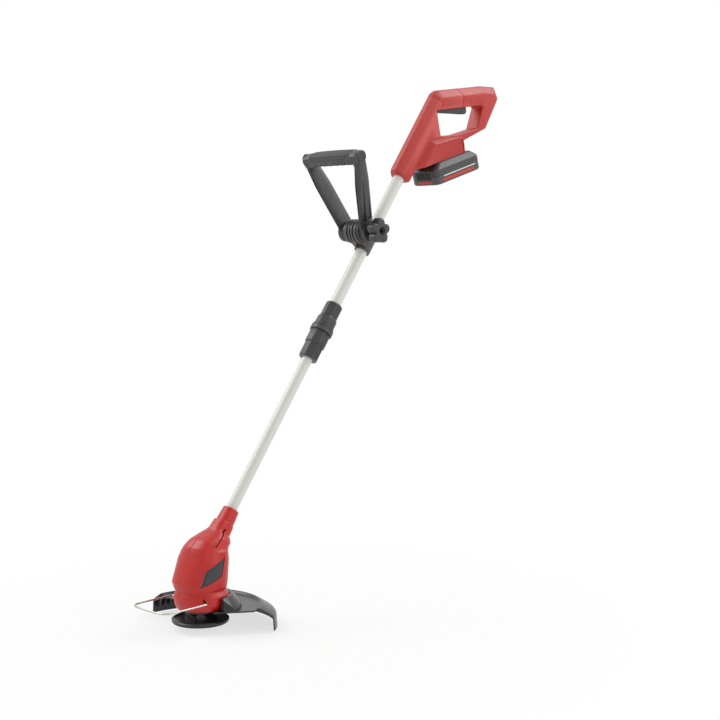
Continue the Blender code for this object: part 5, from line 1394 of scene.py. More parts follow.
@dataclass
class PoleLock:
    """The black lock nut and the collar sleeve above it."""

    nut_length: float = 0.075
    sleeve_length: float = 0.0575
    nut: float = 22.5 * MM
    ring: float = 24.25 * MM
    sleeve: float = 18.5 * MM
    collar: float = 21.25 * MM
    lower_bore: float = 11.4 * MM
    nut_bore: float = 16.9 * MM
    floor: float = 8 * MM
    spigot: float = 16.5 * MM
    spigot_length: float = 0.037
    upper_bore: float = 12.9 * MM
    collet_bore: float = 14.3 * MM
    steps: int = 144

    def shape(self, outer: Pairs, flats: int, depths: Sequence[float], inner: Pairs) -> Mesh:
        """A hollow part from an outer and an inner profile.

        Args:
            outer: (radius, height) of the outside, from the bottom up.
            flats: How many flats are cut round it.
            depths: How deep they are at each outer point, in millimetres; none where the list ends.
            inner: (radius, height) of the bore, from the top down.

        Returns:
            The mesh.
        """
        cuts = [*depths, *[0.0] * len(outer)]
        rings = [circle(radius, height, self.steps, flats, depth * MM)
                 for (radius, height), depth in zip(outer, cuts)]
        rings += [circle(radius, height, self.steps) for radius, height in inner]
        return loft(rings, cyclic=True)

    def build_nut(self) -> None:
        """Makes the lock nut with its flats, grooves and fine ribs."""
        low = self.nut - 2 * MM
        top = self.nut_length
        outer = [
            *from_corner(low, 0.0, (-2.2, 0), (-0.9, 0.7), (0, 2.4), (0, 31.2), (0.5, 32.4)),
            *from_corner(self.nut, 0.0, (-0.3, 33.8), (0, 34.6), (0, 60.0), (-0.6, 60.8), (-1.3, 61.2),
                         (-1.3, 62.6)),
            *from_corner(self.ring, 0.0, (-0.6, 63.0), (0, 63.8)),
            *from_corner(self.ring, top, (0, -3.4), (-0.7, -3.0), (-0.7, -2.2), (-0.1, -1.9), (-0.4, -0.6),
                         (-1.5, 0)),
        ]
        inner = [(self.nut_bore, top), (self.nut_bore, self.floor), (self.lower_bore, self.floor),
                 (self.lower_bore, 0.0)]
        ribs = bmesh.new()
        for index in range(16):
            angle = tau * (index + 0.5) / 16
            place = Matrix.Rotation(angle, 4, "Z") @ move(low + 0.9 * MM, 0, 0)
            turned([(1.5 * MM, 4 * MM), (1.5 * MM, 27 * MM), (0.4 * MM, 29 * MM)], 20, place=place, mesh=ribs)
        dress("lock_nut", self.shape(outer, 8, (0.6, 1.0, 1.2, 1.4, 1.4, 1.2, 1.2, 1.2, 1.0), inner),
              Finish.CHARCOAL_NYLON, "lock_nut", "black_nylon", cuts=[ribs], place=LOCK, crease=28)

    def build_sleeve(self) -> None:
        """Makes the sleeve fixed on the upper tube."""
        base = self.nut_length + 0.5 * MM
        top = base + self.sleeve_length
        collar, sleeve = self.collar, self.sleeve
        outer = [
            (self.spigot, base - self.spigot_length), (self.spigot, base),
            *from_corner(collar, base, (0.3, 0), (1.0, 0.6), (1.0, 3.4), (0.4, 4.2), (-0.6, 4.6), (-0.6, 5.6),
                         (0, 6.2), (0, 21.5), (-0.5, 22.5)),
            *from_corner(sleeve, base, (0.7, 24.6), (0, 25.6)),
            *from_corner(sleeve, top, (0, -3.0), (-0.5, -1.0), (-1.8, 0)),
        ]
        depths = [*[0.0] * 8, 0.4, 1.2, 1.2, 1.0, 1.2, 1.2, 0.6]
        stop = self.nut_length - 3.8 * MM
        inner = [(self.upper_bore, top), (self.upper_bore, stop), (self.collet_bore, stop),
                 (self.collet_bore, base - self.spigot_length)]
        dress("lock_sleeve", self.shape(outer, 6, depths, inner), Finish.CHARCOAL_NYLON, "pole_upper",
              "black_nylon", place=LOCK, crease=28)

    def build(self) -> None:
        """Makes both pieces."""
        self.build_nut()
        self.build_sleeve()


@dataclass
class FrontHandle:
    """The adjustable D handle with its clamp, rings, bolt and star knob."""

    tube: float = 12.6 * MM
    clamp_wall: float = 4.5 * MM
    clamp_length: float = 0.056
    ear: float = 0.0255
    ear_half: float = 0.016
    washer: float = 10 * MM
    washer_radius: float = 24 * MM
    arm: float = 10.5 * MM
    arm_length: float = 0.1655
    depth: float = 0.032
    widening: float = 0.28
    widen_over: float = 0.045
    half: float = 0.078
    grip_height: float = 0.025
    pad_half: float = 0.056
    cap: float = 12 * MM
    cap_thick: float = 3 * MM
    bolt: float = 3 * MM
    knob: float = 27.5 * MM
    knob_neck: float = 12 * MM
    knob_thick: float = 20 * MM
    lobes: int = 5
    fingers: int = 6
    # A finger tick at the bar's lower edge, in millimetres from its own middle and the edge
    tick: Pairs = ((-3.6, -1.0), (1.2, -1.0), (-1.4, 9.5))
    tick_pitch: float = 17 * MM
    tick_deep: float = 3.6 * MM

    @property
    def inner(self) -> float:
        """Where each arm's inner face is."""
        return self.ear_half + self.washer + 0.6 * MM

    def build_clamp(self) -> None:
        """Makes the clamp body round the tube."""
        outer, half, pivot = self.tube + self.clamp_wall, self.clamp_length / 2, -PIVOT_OFFSET
        profile = from_corner(outer, -half, (-1.2, 0), (-0.3, 0.6), (0, 2))
        profile += [(radius, -height) for radius, height in reversed(profile)]
        body = turned(profile, 128)
        ears = rod_x(self.ear, -self.ear_half, self.ear_half, pivot, 0.0, 96)
        web = box((-self.ear_half + 1 * MM, self.ear_half - 1 * MM), (pivot, -0.004),
                  (-self.ear + 3 * MM, self.ear - 3 * MM))
        bore = turned([(self.tube + 0.4 * MM, -0.1), (self.tube + 0.4 * MM, 0.1)], 96)
        slit = box((-1.5 * MM, 1.5 * MM), (pivot - 0.05, 0.0), (-0.1, 0.1))
        eye = rod_x(self.bolt + 0.3 * MM, -0.05, 0.05, pivot, 0.0, 32)
        rings = [turned(from_corner(outer, height, (-0.5, 0), (1, -0.5), (1, 1.6), (-0.5, 1.1)), 128, True)
                 for height in (-half + 4 * MM, half - 5.1 * MM)]
        # Ribs round the drum of the ears, kept off the sleeve behind them
        keep = box((-0.03, 0.03), (pivot + 8 * MM, 0.03), (-0.05, 0.05))
        for x in (-8.0, 8.0):
            rib = turned(from_corner(self.ear, 0.0, (-3.2, -1.9), (2, -2.8), (2, 2.8), (-3.2, 1.9)), 96, True,
                         along_x(x * MM, pivot))
            rings.append(carve(rib, keep.copy()))
        keep.free()
        dress("clamp_body", body, Finish.CHARCOAL_NYLON, "clamp", "black_nylon", joins=[ears, web],
              cuts=[bore, slit, eye, *rings], bevel_mm=0.8, bevel_angle=40, segments=2, place=CLAMP, crease=35)

    def build_washers(self) -> None:
        """Makes the ringed tilt washers between the clamp and the arms."""
        big, small, width = self.washer_radius, self.washer_radius - 2.5 * MM, self.washer
        hole = self.bolt + 0.3 * MM
        profile = [
            (hole, 0.0), (big - 1.0 * MM, 0.0), (big - 0.3 * MM, 0.3 * MM), (big, 1.0 * MM), (big, width * 0.52),
            (big - 0.3 * MM, width * 0.58), (big - 1.0 * MM, width * 0.62), (small - 0.4 * MM, width * 0.66),
            (small - 0.4 * MM, width * 0.82), (big - 1.2 * MM, width * 0.86), (big - 0.8 * MM, width * 0.90),
            (big - 0.8 * MM, width * 0.97), (big - 1.4 * MM, width), (hole, width),
        ]
        for side in Side:
            place = CLAMP @ move(0, -PIVOT_OFFSET, 0)
            place = place @ Matrix.Rotation(side.value * pi / 2, 4, "Y")
            place = place @ move(0, 0, self.ear_half + 0.3 * MM)
            dress("toothed_washer_" + side.label, turned(profile, 96, hollow=True), Finish.CHARCOAL_NYLON,
                  "clamp", "black_nylon", place=place, crease=35)

    def build_bolt(self) -> None:
        """Makes the bolt with its domed head."""
        face = self.inner + self.arm
        head = -face - 0.3 * MM
        tip = face + self.knob_neck + self.knob_thick * 0.55
        profile = [*from_corner(0.0, head, (2.4, -4.5), (4.6, -4.1), (5.8, -3.0), (6.2, -1.6), (6.2, 0)),
                   (self.bolt, head), *from_corner(self.bolt, tip, (0, -0.8), (-0.8, 0))]
        socket = [Vector((head - 5.5 * MM, 2.0 * MM * cos(tau * k / 6), 2.0 * MM * sin(tau * k / 6)))
                  for k in range(6)]
        deep = [Vector((head - 1.8 * MM, p.y, p.z)) for p in socket]
        socket = loft([[Vector((p.x, p.y - PIVOT_OFFSET, p.z)) for p in ring] for ring in (socket, deep)])
        dress("clamp_bolt", turned(profile, 64, place=along_x(0.0, -PIVOT_OFFSET)), Finish.ZINC, "clamp",
              "zinc_steel", cuts=[socket], place=CLAMP, crease=35)

    def build_knob(self) -> None:
        """Makes the five-lobed knob with its tapered neck and centre recess."""
        neck, thick = self.knob_neck, self.knob_thick
        levels = ((neck, 0.86), (neck + 0.6 * MM, 0.94), (neck + 1.8 * MM, 0.985), (neck + 3.4 * MM, 1.0),
                  (neck + thick - 5.0 * MM, 1.0), (neck + thick - 2.4 * MM, 0.975),
                  (neck + thick - 0.9 * MM, 0.92), (neck + thick, 0.82))
        rings = []
        for height, share in levels:
            ring = []
            for index in range(200):
                angle = tau * index / 200
                wave = 0.5 + 0.5 * cos(self.lobes * angle)
                reach = self.knob * share * (0.62 + 0.38 * wave ** 0.42)
                ring.append(Vector((reach * cos(angle), reach * sin(angle), height)))
            rings.append(ring)
        stalk = turned([*from_corner(0.0, 0.0, (9.2, 0), (9.5, 0.4), (9.8, 6.5)), (12.0 * MM, neck + 1 * MM)], 64)
        past = neck + thick + 0.01
        bore = turned([(self.bolt + 0.4 * MM, -0.01), (self.bolt + 0.4 * MM, past)], 32)
        seat = turned([(self.bolt + 2.9 * MM, neck * 0.3), (self.bolt + 2.9 * MM, past)], 48)
        dish = turned([(8.4 * MM, neck + thick - 2.4 * MM), (9.4 * MM, neck + thick + 1 * MM)], 64)
        place = CLAMP @ move(self.inner + self.arm + 0.3 * MM, -PIVOT_OFFSET, 0.0)
        dress("clamp_knob", loft(rings), Finish.CHARCOAL_NYLON, "knob", "black_nylon", joins=[stalk],
              cuts=[bore, seat, dish], place=place @ Matrix.Rotation(pi / 2, 4, "Y"), crease=40)

    def outline(self) -> list[Pair]:
        """The handle's outline in its own front view, anticlockwise."""
        inner, outer = self.inner, self.inner + self.arm
        top, under = self.arm_length + self.grip_height / 2, self.arm_length - self.grip_height / 2
        knee = under - self.widen_over
        corner = (self.half - 0.003, under - 0.002)
        end = self.half + self.cap_thick - 0.6 * MM
        share = (knee - 0.018) / (corner[1] - 0.018)
        right = [
            (outer, 0.0), (outer, 0.018), (outer + (corner[0] - outer) * share, knee), corner,
            (end, self.arm_length - 0.004), (end, top - 0.006), (end - 0.006, top - 0.0010),
            (self.half * 0.45, top + 0.0012),
        ]
        finger = self.half * 0.22
        notches = []
        for index in range(self.fingers):
            x = -finger * 2.5 + finger * index
            for share in range(7):
                turn = share / 6
                notches.append((x + (turn - 0.5) * 6.5 * MM, under + 2.2 * MM * sin(pi * turn)))
        arm_x = self.half - 0.003 - self.arm - 0.002
        share = (knee - 0.019) / (under - 0.004 - 0.019)
        inside = [(arm_x, under), (arm_x + 0.001, under - 0.004), (inner + 0.001 + (arm_x - inner) * share, knee),
                  (inner + 0.001, 0.019), (inner, 0.0)]
        return (right + [(-x, z) for x, z in reversed(right)] + [(-x, z) for x, z in reversed(inside)]
                + notches + inside)

    def build_frame(self) -> None:
        """Makes the D frame with its channelled arms."""
        outline = self.outline()
        half = self.depth / 2
        chamfers = [0.0045 if index < 15 else 0.0018 for index in range(len(outline))]
        levels = [(-half, 1.0, 0), (-half + 0.0045, 0.35, 0), (-half + 0.010, 0, 0), (half - 0.010, 0, 0),
                  (half - 0.0045, 0.35, 0), (half, 1.0, 0)]
        frame_mesh = plate(outline, levels, View.FRONT, chamfers)
        under = self.arm_length - self.grip_height / 2
        for vertex in frame_mesh.verts:
            vertex.co.y *= 1 + self.widening * min(max((under - vertex.co.z) / self.widen_over, 0.0), 1.0)
        joins, cuts = [], []
        for side in Side:
            ends = side.reach(self.inner, self.inner + self.arm)
            joins.append(rod_x(half * (1 + self.widening) + 1 * MM, *ends, 0.0, 0.0, 96))
            ends = side.reach(self.half - self.cap_thick * 0.5, 0.1)
            cuts.append(rod_x(self.cap - 1.7 * MM, *ends, 0.0, self.arm_length + 1 * MM, 64))
            cuts += self.arm_channels(side)
        pad_low = self.arm_length + self.grip_height * 0.12 - 0.15 * MM
        reach = self.pad_half + 0.3 * MM
        cuts += [rod_x(self.bolt + 0.4 * MM, -0.06, 0.06, 0.0, 0.0, 32),
                 box((-reach, reach), (-0.03, 0.03), (pad_low, 0.3))]
        # Finger ticks along both lower edges of the bar
        for index in range(self.fingers):
            tick = from_corner((index - 2.5) * self.tick_pitch, under, *self.tick)
            cuts += [prism(tick, y, y + 0.02, View.FRONT)
                     for y in (half - self.tick_deep, self.tick_deep - half - 0.02)]
        make("front_handle_dressed", frame_mesh, Finish.CHARCOAL_NYLON, "aux_handle",
             ["front_handle_frame"],
             Recipe(joins=joins, cuts=cuts, bevel_mm=1.0, bevel_angle=28, place=AUX, crease=35))

    def arm_channels(self, side: Side) -> list[Mesh]:
        """The two shallow channels down the outside of an arm.

        Args:
            side: Which arm.

        Returns:
            The cutting shapes.
        """
        low = (self.inner + self.arm, 0.026)
        high = (self.half - 3 * MM, self.arm_length - self.grip_height / 2 - 0.010)
        shapes = []
        for y in ((-0.0130, -0.0035), (0.0035, 0.0130)):
            ring = [(y[0], -1.3), (y[1], -1.3), (y[1] + 1.2 * MM, 3.0), (y[0] - 1.2 * MM, 3.0)]
            rings = [[Vector((side.value * (x + off * MM), v, z)) for v, off in ring] for x, z in (low, high)]
            shapes.append(loft(rings))
        return shapes

    def build_pad(self) -> None:
        """Makes the crowned soft pad with a seam near each end."""
        pad_half = self.depth / 2 - 0.15 * MM
        low = self.arm_length + self.grip_height * 0.12
        crest = self.arm_length + self.grip_height / 2 + 0.2 * MM
        arch = [(-pad_half, low), (pad_half, low), (pad_half, low + 0.006)]
        for index in range(1, 24):
            turn = pi * index / 24
            arch.append((pad_half * signed_power(cos(turn), 0.72), low + 0.006
                         + (crest - low - 0.006) * signed_power(sin(turn), 0.80)))
        arch.append((-pad_half, low + 0.006))
        rings = []
        steps = 96
        for index in range(steps + 1):
            share = -1 + 2 * index / steps
            crown = 1.2 * MM * (1 - share * share)
            ring = []
            for y, z in arch:
                lift = (z - low) / (crest - low)
                x = self.pad_half * share
                seam = abs(abs(x) - (self.pad_half - 9 * MM + 4 * MM * lift))
                dip = 1.2 * MM * max(0.0, 1 - (seam / (1.7 * MM)) ** 2) if z > low else 0.0
                rise = crown * lift - dip * lift if z > low else 0.0
                ring.append(Vector((x, y * (1 - dip / pad_half), z + rise)))
            rings.append(ring)
        dress("grip_pad", loft(rings), Finish.SOFT_RUBBER, "aux_handle", "soft_grip", place=AUX, crease=40)

    def build_caps(self) -> None:
        """Makes the round end caps with a raised rim."""
        spigot, big, end = self.cap - 2 * MM, self.cap, self.half + self.cap_thick
        profile = [
            (spigot, self.half - self.cap_thick * 0.5 + 0.3 * MM), (spigot, self.half + 0.3 * MM),
            *from_corner(big, self.half, (-0.2, 0.3), (0, 0.8)),
            *from_corner(big, end, (0, -1.2), (-0.4, -0.4), (-1.2, 0), (-2.6, 0), (-3.2, -0.8), (-9, -0.9)),
            (0.5 * MM, end - 0.9 * MM),
        ]
        for side in Side:
            turn = AUX @ move(0, 0, self.arm_length + 1 * MM)
            turn = turn @ Matrix.Rotation(side.value * pi / 2, 4, "Y")
            dress("grip_cap_" + side.label, turned(profile, 96), Finish.CHARCOAL_NYLON, "aux_handle",
                  "black_nylon", place=turn, crease=35)

    def build(self) -> None:
        """Makes the handle's pieces."""
        self.build_clamp()
        self.build_washers()
        self.build_bolt()
        self.build_knob()
        self.build_frame()
        self.build_pad()
        self.build_caps()


@dataclass
class RearLayout:
    """Places in the side view of the rear handle, shared by the housing, trigger and battery."""

    grip_start: Pair = (-0.004, 0.188)
    grip_angle: float = 45.0
    grip_depth: float = 0.0435
    loop_height: float = 0.0566
    loop_length: float = 0.160
    battery_height: float = 0.046

    def grip(self, s: float, t: float) -> Pair:
        """A point from s along the grip's underside and t above it."""
        angle = radians(self.grip_angle)
        return (self.grip_start[0] + s * cos(angle) - t * sin(angle),
                self.grip_start[1] + s * sin(angle) + t * cos(angle))

    def pack(self, u: float, v: float) -> Pair:
        """A point from u along the battery and v above its underside."""
        return (BATTERY_AT[0] + u * cos(BATTERY_TILT) - v * sin(BATTERY_TILT),
                BATTERY_AT[1] + u * sin(BATTERY_TILT) + v * cos(BATTERY_TILT))


LAYOUT = RearLayout()


@dataclass
class RearHandle:
    """The red rear housing with its hand loop and battery foot, the trigger and the button."""

    front: float = 0.026
    rear: float = 0.020
    half: float = 0.018
    ridge: float = 8 * MM
    ridge_chamfer: float = 0.018
    grip_chamfer: float = 0.016
    wall: float = 2.8 * MM
    foot_half: float = 0.028
    tube: float = 12.9 * MM
    tube_seat: float = 0.0453
    trigger_length: float = 0.116
    trigger_half: float = 6.5 * MM
    pin: Pair = (0.0085, 0.0070)
    button: Pair = (0.0260, 0.0165)

    def loop(self) -> list[tuple[Pair, float]]:
        """The barrel and hand loop's outline, anticlockwise, with the chamfer of each edge."""
        length, height, depth = LAYOUT.loop_length, LAYOUT.loop_height, LAYOUT.grip_depth
        neck = LAYOUT.grip(length * 0.473, -height - 0.0219)
        return [
            ((-self.front, 0.0), 0.0), ((self.rear, 0.0), 0.002), ((self.rear, 0.062), 0.002),
            ((neck[0] - 0.010, neck[1] - 0.021), 0.002), (neck, 0.003),
            (LAYOUT.grip(length + 0.0217, -height + 0.0036), self.ridge_chamfer - 0.006),
            (LAYOUT.grip(length + 0.0769, 0.0106), self.grip_chamfer),
            (LAYOUT.grip(length + 0.0649, depth - 0.0053), self.grip_chamfer),
            (LAYOUT.grip(length + 0.0140, depth), self.grip_chamfer),
            (LAYOUT.grip(0.0209, depth), self.ridge_chamfer - 0.002),
            ((-self.front, LAYOUT.grip(0.0209, depth)[1] - 0.0145), self.ridge_chamfer),
        ]

    def foot(self) -> list[tuple[Pair, float]]:
        """The battery foot's outline, anticlockwise, with the chamfer of each edge."""
        bottom = LAYOUT.battery_height + 0.3 * MM
        top = -LAYOUT.loop_height - 0.003
        length = LAYOUT.loop_length
        return [
            (LAYOUT.pack(-0.029, bottom), 0.0), (LAYOUT.pack(0.127, bottom), 0.003),
            (LAYOUT.grip(length * 0.478, -LAYOUT.loop_height - 0.0217), 0.003),
            (LAYOUT.grip(length * 0.450, top - 0.002), 0.004), (LAYOUT.grip(0.0070, top), 0.010),
            ((self.rear - 0.004, 0.118), 0.014), ((self.rear - 0.004, 0.040), 0.003),
        ]

    def half_plate(self, rows: Sequence[tuple[Pair, float]], side: Side, knee: float, half: float,
                   start: float = 0.15 * MM, rim: float = 2.4 * MM) -> Mesh:
        """Half of a chamfered plate.

        Args:
            rows: The outline with each edge's chamfer.
            side: Which half.
            knee: Where the chamfers start.
            half: The half width.
            start: Where the half's flat is.
            rim: The radius round its face.

        Returns:
            The mesh.
        """
        corner = 8 * MM if half < self.foot_half else 5 * MM
        outline, chamfers = [point for point, _ in rows], [size for _, size in rows]
        levels = [(side.value * depth, share, extra)
                  for depth, share, extra in soft_levels(start, knee, half, 2.6 * MM, rim)]
        return plate(outline, levels, View.SIDE, chamfers, corner=corner)

    def opening(self) -> Mesh:
        """The hand opening, flared at its outer faces."""
        length, height = LAYOUT.loop_length, LAYOUT.loop_height
        points = [LAYOUT.grip(s, t) for s, t in (
            (0.0, 0.0), (0.0057, -height), (length * 0.45, -height - 0.002), (length - 0.021, -height + 0.006),
            (length + 0.006, -0.004), (length, 0.0))]
        return plate(points, flared(self.half, 2.8 * MM), View.SIDE, corner=3 * MM)

    def channel(self) -> list[Mesh]:
        """The battery's rail channel, cut in the foot's underside."""
        low, stem_top = LAYOUT.battery_height, LAYOUT.battery_height + 4.3 * MM
        top = stem_top + 5.2 * MM
        stem, flange = 18.9 * MM, 23.9 * MM
        below, ledge = low - 6 * MM, stem_top - 0.4 * MM
        window = [(-flange, below), (flange, below), (flange, top), (-flange, top)]
        lips = [(-stem, below), (stem, below), (stem, ledge), (flange, ledge),
                (flange, top), (-flange, top), (-flange, ledge), (-stem, ledge)]
        shapes = [loft([[Vector((x, u, v)) for x, v in ring] for u in ends])
                  for ring, ends in ((window, (-0.0165, 0.052)), (lips, (0.040, 0.099)))]
        shapes.append(box((-0.0183, 0.0183), (0.098, 0.1075), (low + 1.8 * MM, top)))
        for shape in shapes:
            shape.transform(REAR.inverted() @ BATTERY)
        return shapes

    def hollow(self) -> Mesh:
        """The space behind the trigger's slot."""
        corners = ((0.003, 2.8 * MM), (0.150, 2.8 * MM), (0.146, 0.029), (0.012, 0.029))
        return prism([LAYOUT.grip(*corner) for corner in corners], -0.0090, 0.0090, View.SIDE)

    def screw_places(self) -> list[Pair]:
        """The rear screws' (y, z) in the rear frame."""
        length = LAYOUT.loop_length
        return [(0.0125, 0.136), LAYOUT.grip(length - 0.025, 0.020), LAYOUT.grip(length + 0.022, -0.009),
                LAYOUT.pack(0.110, LAYOUT.battery_height + 0.025)]

    def groove(self, side: Side) -> Mesh:
        """The fine steps round the grip's skin, drawn a little wider than they are so that they show.

        Args:
            side: Which half.

        Returns:
            The cutting shape.
        """
        rows = self.loop()
        deep = 1.0 * MM
        levels = [(-side.value * 3 * MM, 0.0, deep)]
        levels += [(side.value * (depth - (deep if depth > self.ridge else 0.0)), share, extra + deep)
                   for depth, share, extra in soft_levels(0.0, self.ridge, self.half, 2.6 * MM, 2.4 * MM)[1:]]
        core = plate([point for point, _ in rows], levels, View.SIDE, [size for _, size in rows], corner=8 * MM)
        lines = (((78, 50), (85, 43.5), (95, 33), (98, 24), (95, 12), (89, -3)),
                 ((-14, 48), (-5, 38), (12, 24), (21, 15), (20, 8), (15, -3)))
        cutter = bmesh.new()
        for line in lines:
            ring = ribbon([LAYOUT.grip(s * MM, t * MM) for s, t in line], 1.5 * MM)
            prism(ring, side.value * 0.05 * MM, side.value * 0.03, View.SIDE, cutter)
        return carve(cutter, core)

    def panel(self, side: Side) -> Mesh:
        """The shallow panel let into the foot's side, a little inside the foot's creases.

        Args:
            side: Which side.

        Returns:
            The cutting shape.
        """
        rows = self.foot()
        outline = [point for point, _ in rows]
        chamfers = [-0.010 if index == 0 else size for index, (_, size) in enumerate(rows)]
        face = self.foot_half
        levels = [(face - 2.6 * MM, 1, 4.0 * MM), (face - 2.3 * MM, 1, 3.3 * MM), (face - 0.3 * MM, 1, 2.7 * MM),
                  (face, 1, 2.3 * MM), (face + 4 * MM, 1, 0.6 * MM)]
        return plate(outline, [(side.value * depth, share, extra) for depth, share, extra in levels], View.SIDE,
                     chamfers, corner=5 * MM)

    def build_shell(self, side: Side) -> None:
        """Makes one half shell.

        Args:
            side: Which half.
        """
        loop = self.half_plate(self.loop(), side, self.ridge, self.half)
        foot = self.half_plate(self.foot(), side, self.half - 1 * MM, self.foot_half, 0.22 * MM, 1.2 * MM)
        corners = ((0.6 * MM, -0.004), (0.1195, -0.004), (0.1195, 0.005), (0.6 * MM, 0.005))
        reach = self.trigger_half + 0.4 * MM
        slot = prism([LAYOUT.grip(*corner) for corner in corners], -reach, reach, View.SIDE)
        seat = turned([(self.tube, -0.01), (self.tube, self.tube_seat), (8.6 * MM, self.tube_seat),
                       (8.6 * MM, self.tube_seat + 0.014)], 96)
        cuts = [self.groove(side), self.panel(side), self.opening(), *self.channel(), self.hollow(), slot, seat]
        cuts += Screws().holes(self.screw_places())
        if side is Side.RIGHT:
            cuts.append(rod_x(5.9 * MM, -0.03, -0.005, *LAYOUT.grip(*self.button), 48))
        shell = carve(loop, foot, "UNION")
        for shape in cuts:
            shell = carve(shell, shape)
        # The rear shells take the red copy whose duller, paler colour is painted sheen
        dress("rear_housing_" + side.label, shell, Finish.RED_ABS_PAINTED_SHEEN, "pole_upper", "red_housing", place=REAR,
              crease=30)

    def build_trigger(self) -> None:
        """Makes the long trigger with its rounded finger face."""
        start, end = 1.5 * MM, 1.5 * MM + self.trigger_length
        top = self.pin[1] + 4.3 * MM
        profile = [
            (start, -0.0055), (start + 0.03, -0.0075), (start + 0.06, -0.0105), (end - 0.022, -0.0145),
            (end - 0.008, -0.0155), (end - 0.003, -0.0150), (end, -0.012), (end, 0.0065), (0.020, 0.0065),
            (0.0135, top), (0.0040, top), (start, top - 0.003),
        ]
        outline = [LAYOUT.grip(s, t) for s, t in profile]
        half = self.trigger_half
        thin = [0.0016] * 6 + [0.001] + [0.0] * 5
        levels = [(-half, 1, 0), (-half + 1.0 * MM, 0.35, 0), (-half + 2.2 * MM, 0, 0),
                  (half - 2.2 * MM, 0, 0), (half - 1.0 * MM, 0.35, 0), (half, 1, 0)]
        dress("trigger", plate(outline, levels, View.SIDE, thin), Finish.CHARCOAL_NYLON, "trigger",
              "black_nylon", cuts=[rod_x(1.9 * MM, -0.02, 0.02, *LAYOUT.grip(*self.pin), 32)], bevel_mm=0.5,
              bevel_angle=20, segments=2, place=REAR, crease=35)

    def build_button(self) -> None:
        """Makes the round lock-off button with its dished face."""
        face, inside = -self.half - 2.8 * MM, -(self.half - self.wall) + 0.3 * MM
        profile = [*from_corner(0.0, face, (0.4, 0.6), (3.2, 0.3), (4.4, 0), (5.1, 0.3), (5.5, 1.0)),
                   *from_corner(0.0, inside, (5.5, 0), (6.8, 0), (6.8, 1.4))]
        dress("lock_off_button", turned(profile, 64, place=along_x(0.0, *LAYOUT.grip(*self.button))),
              Finish.CHARCOAL_NYLON, "lock_off", "black_nylon", place=REAR, crease=40)

    def build(self) -> None:
        """Makes the rear handle's pieces."""
        for side in Side:
            self.build_shell(side)
        self.build_trigger()
        self.build_button()
        Screws().build("rear_screw", self.screw_places(), "pole_upper", REAR)


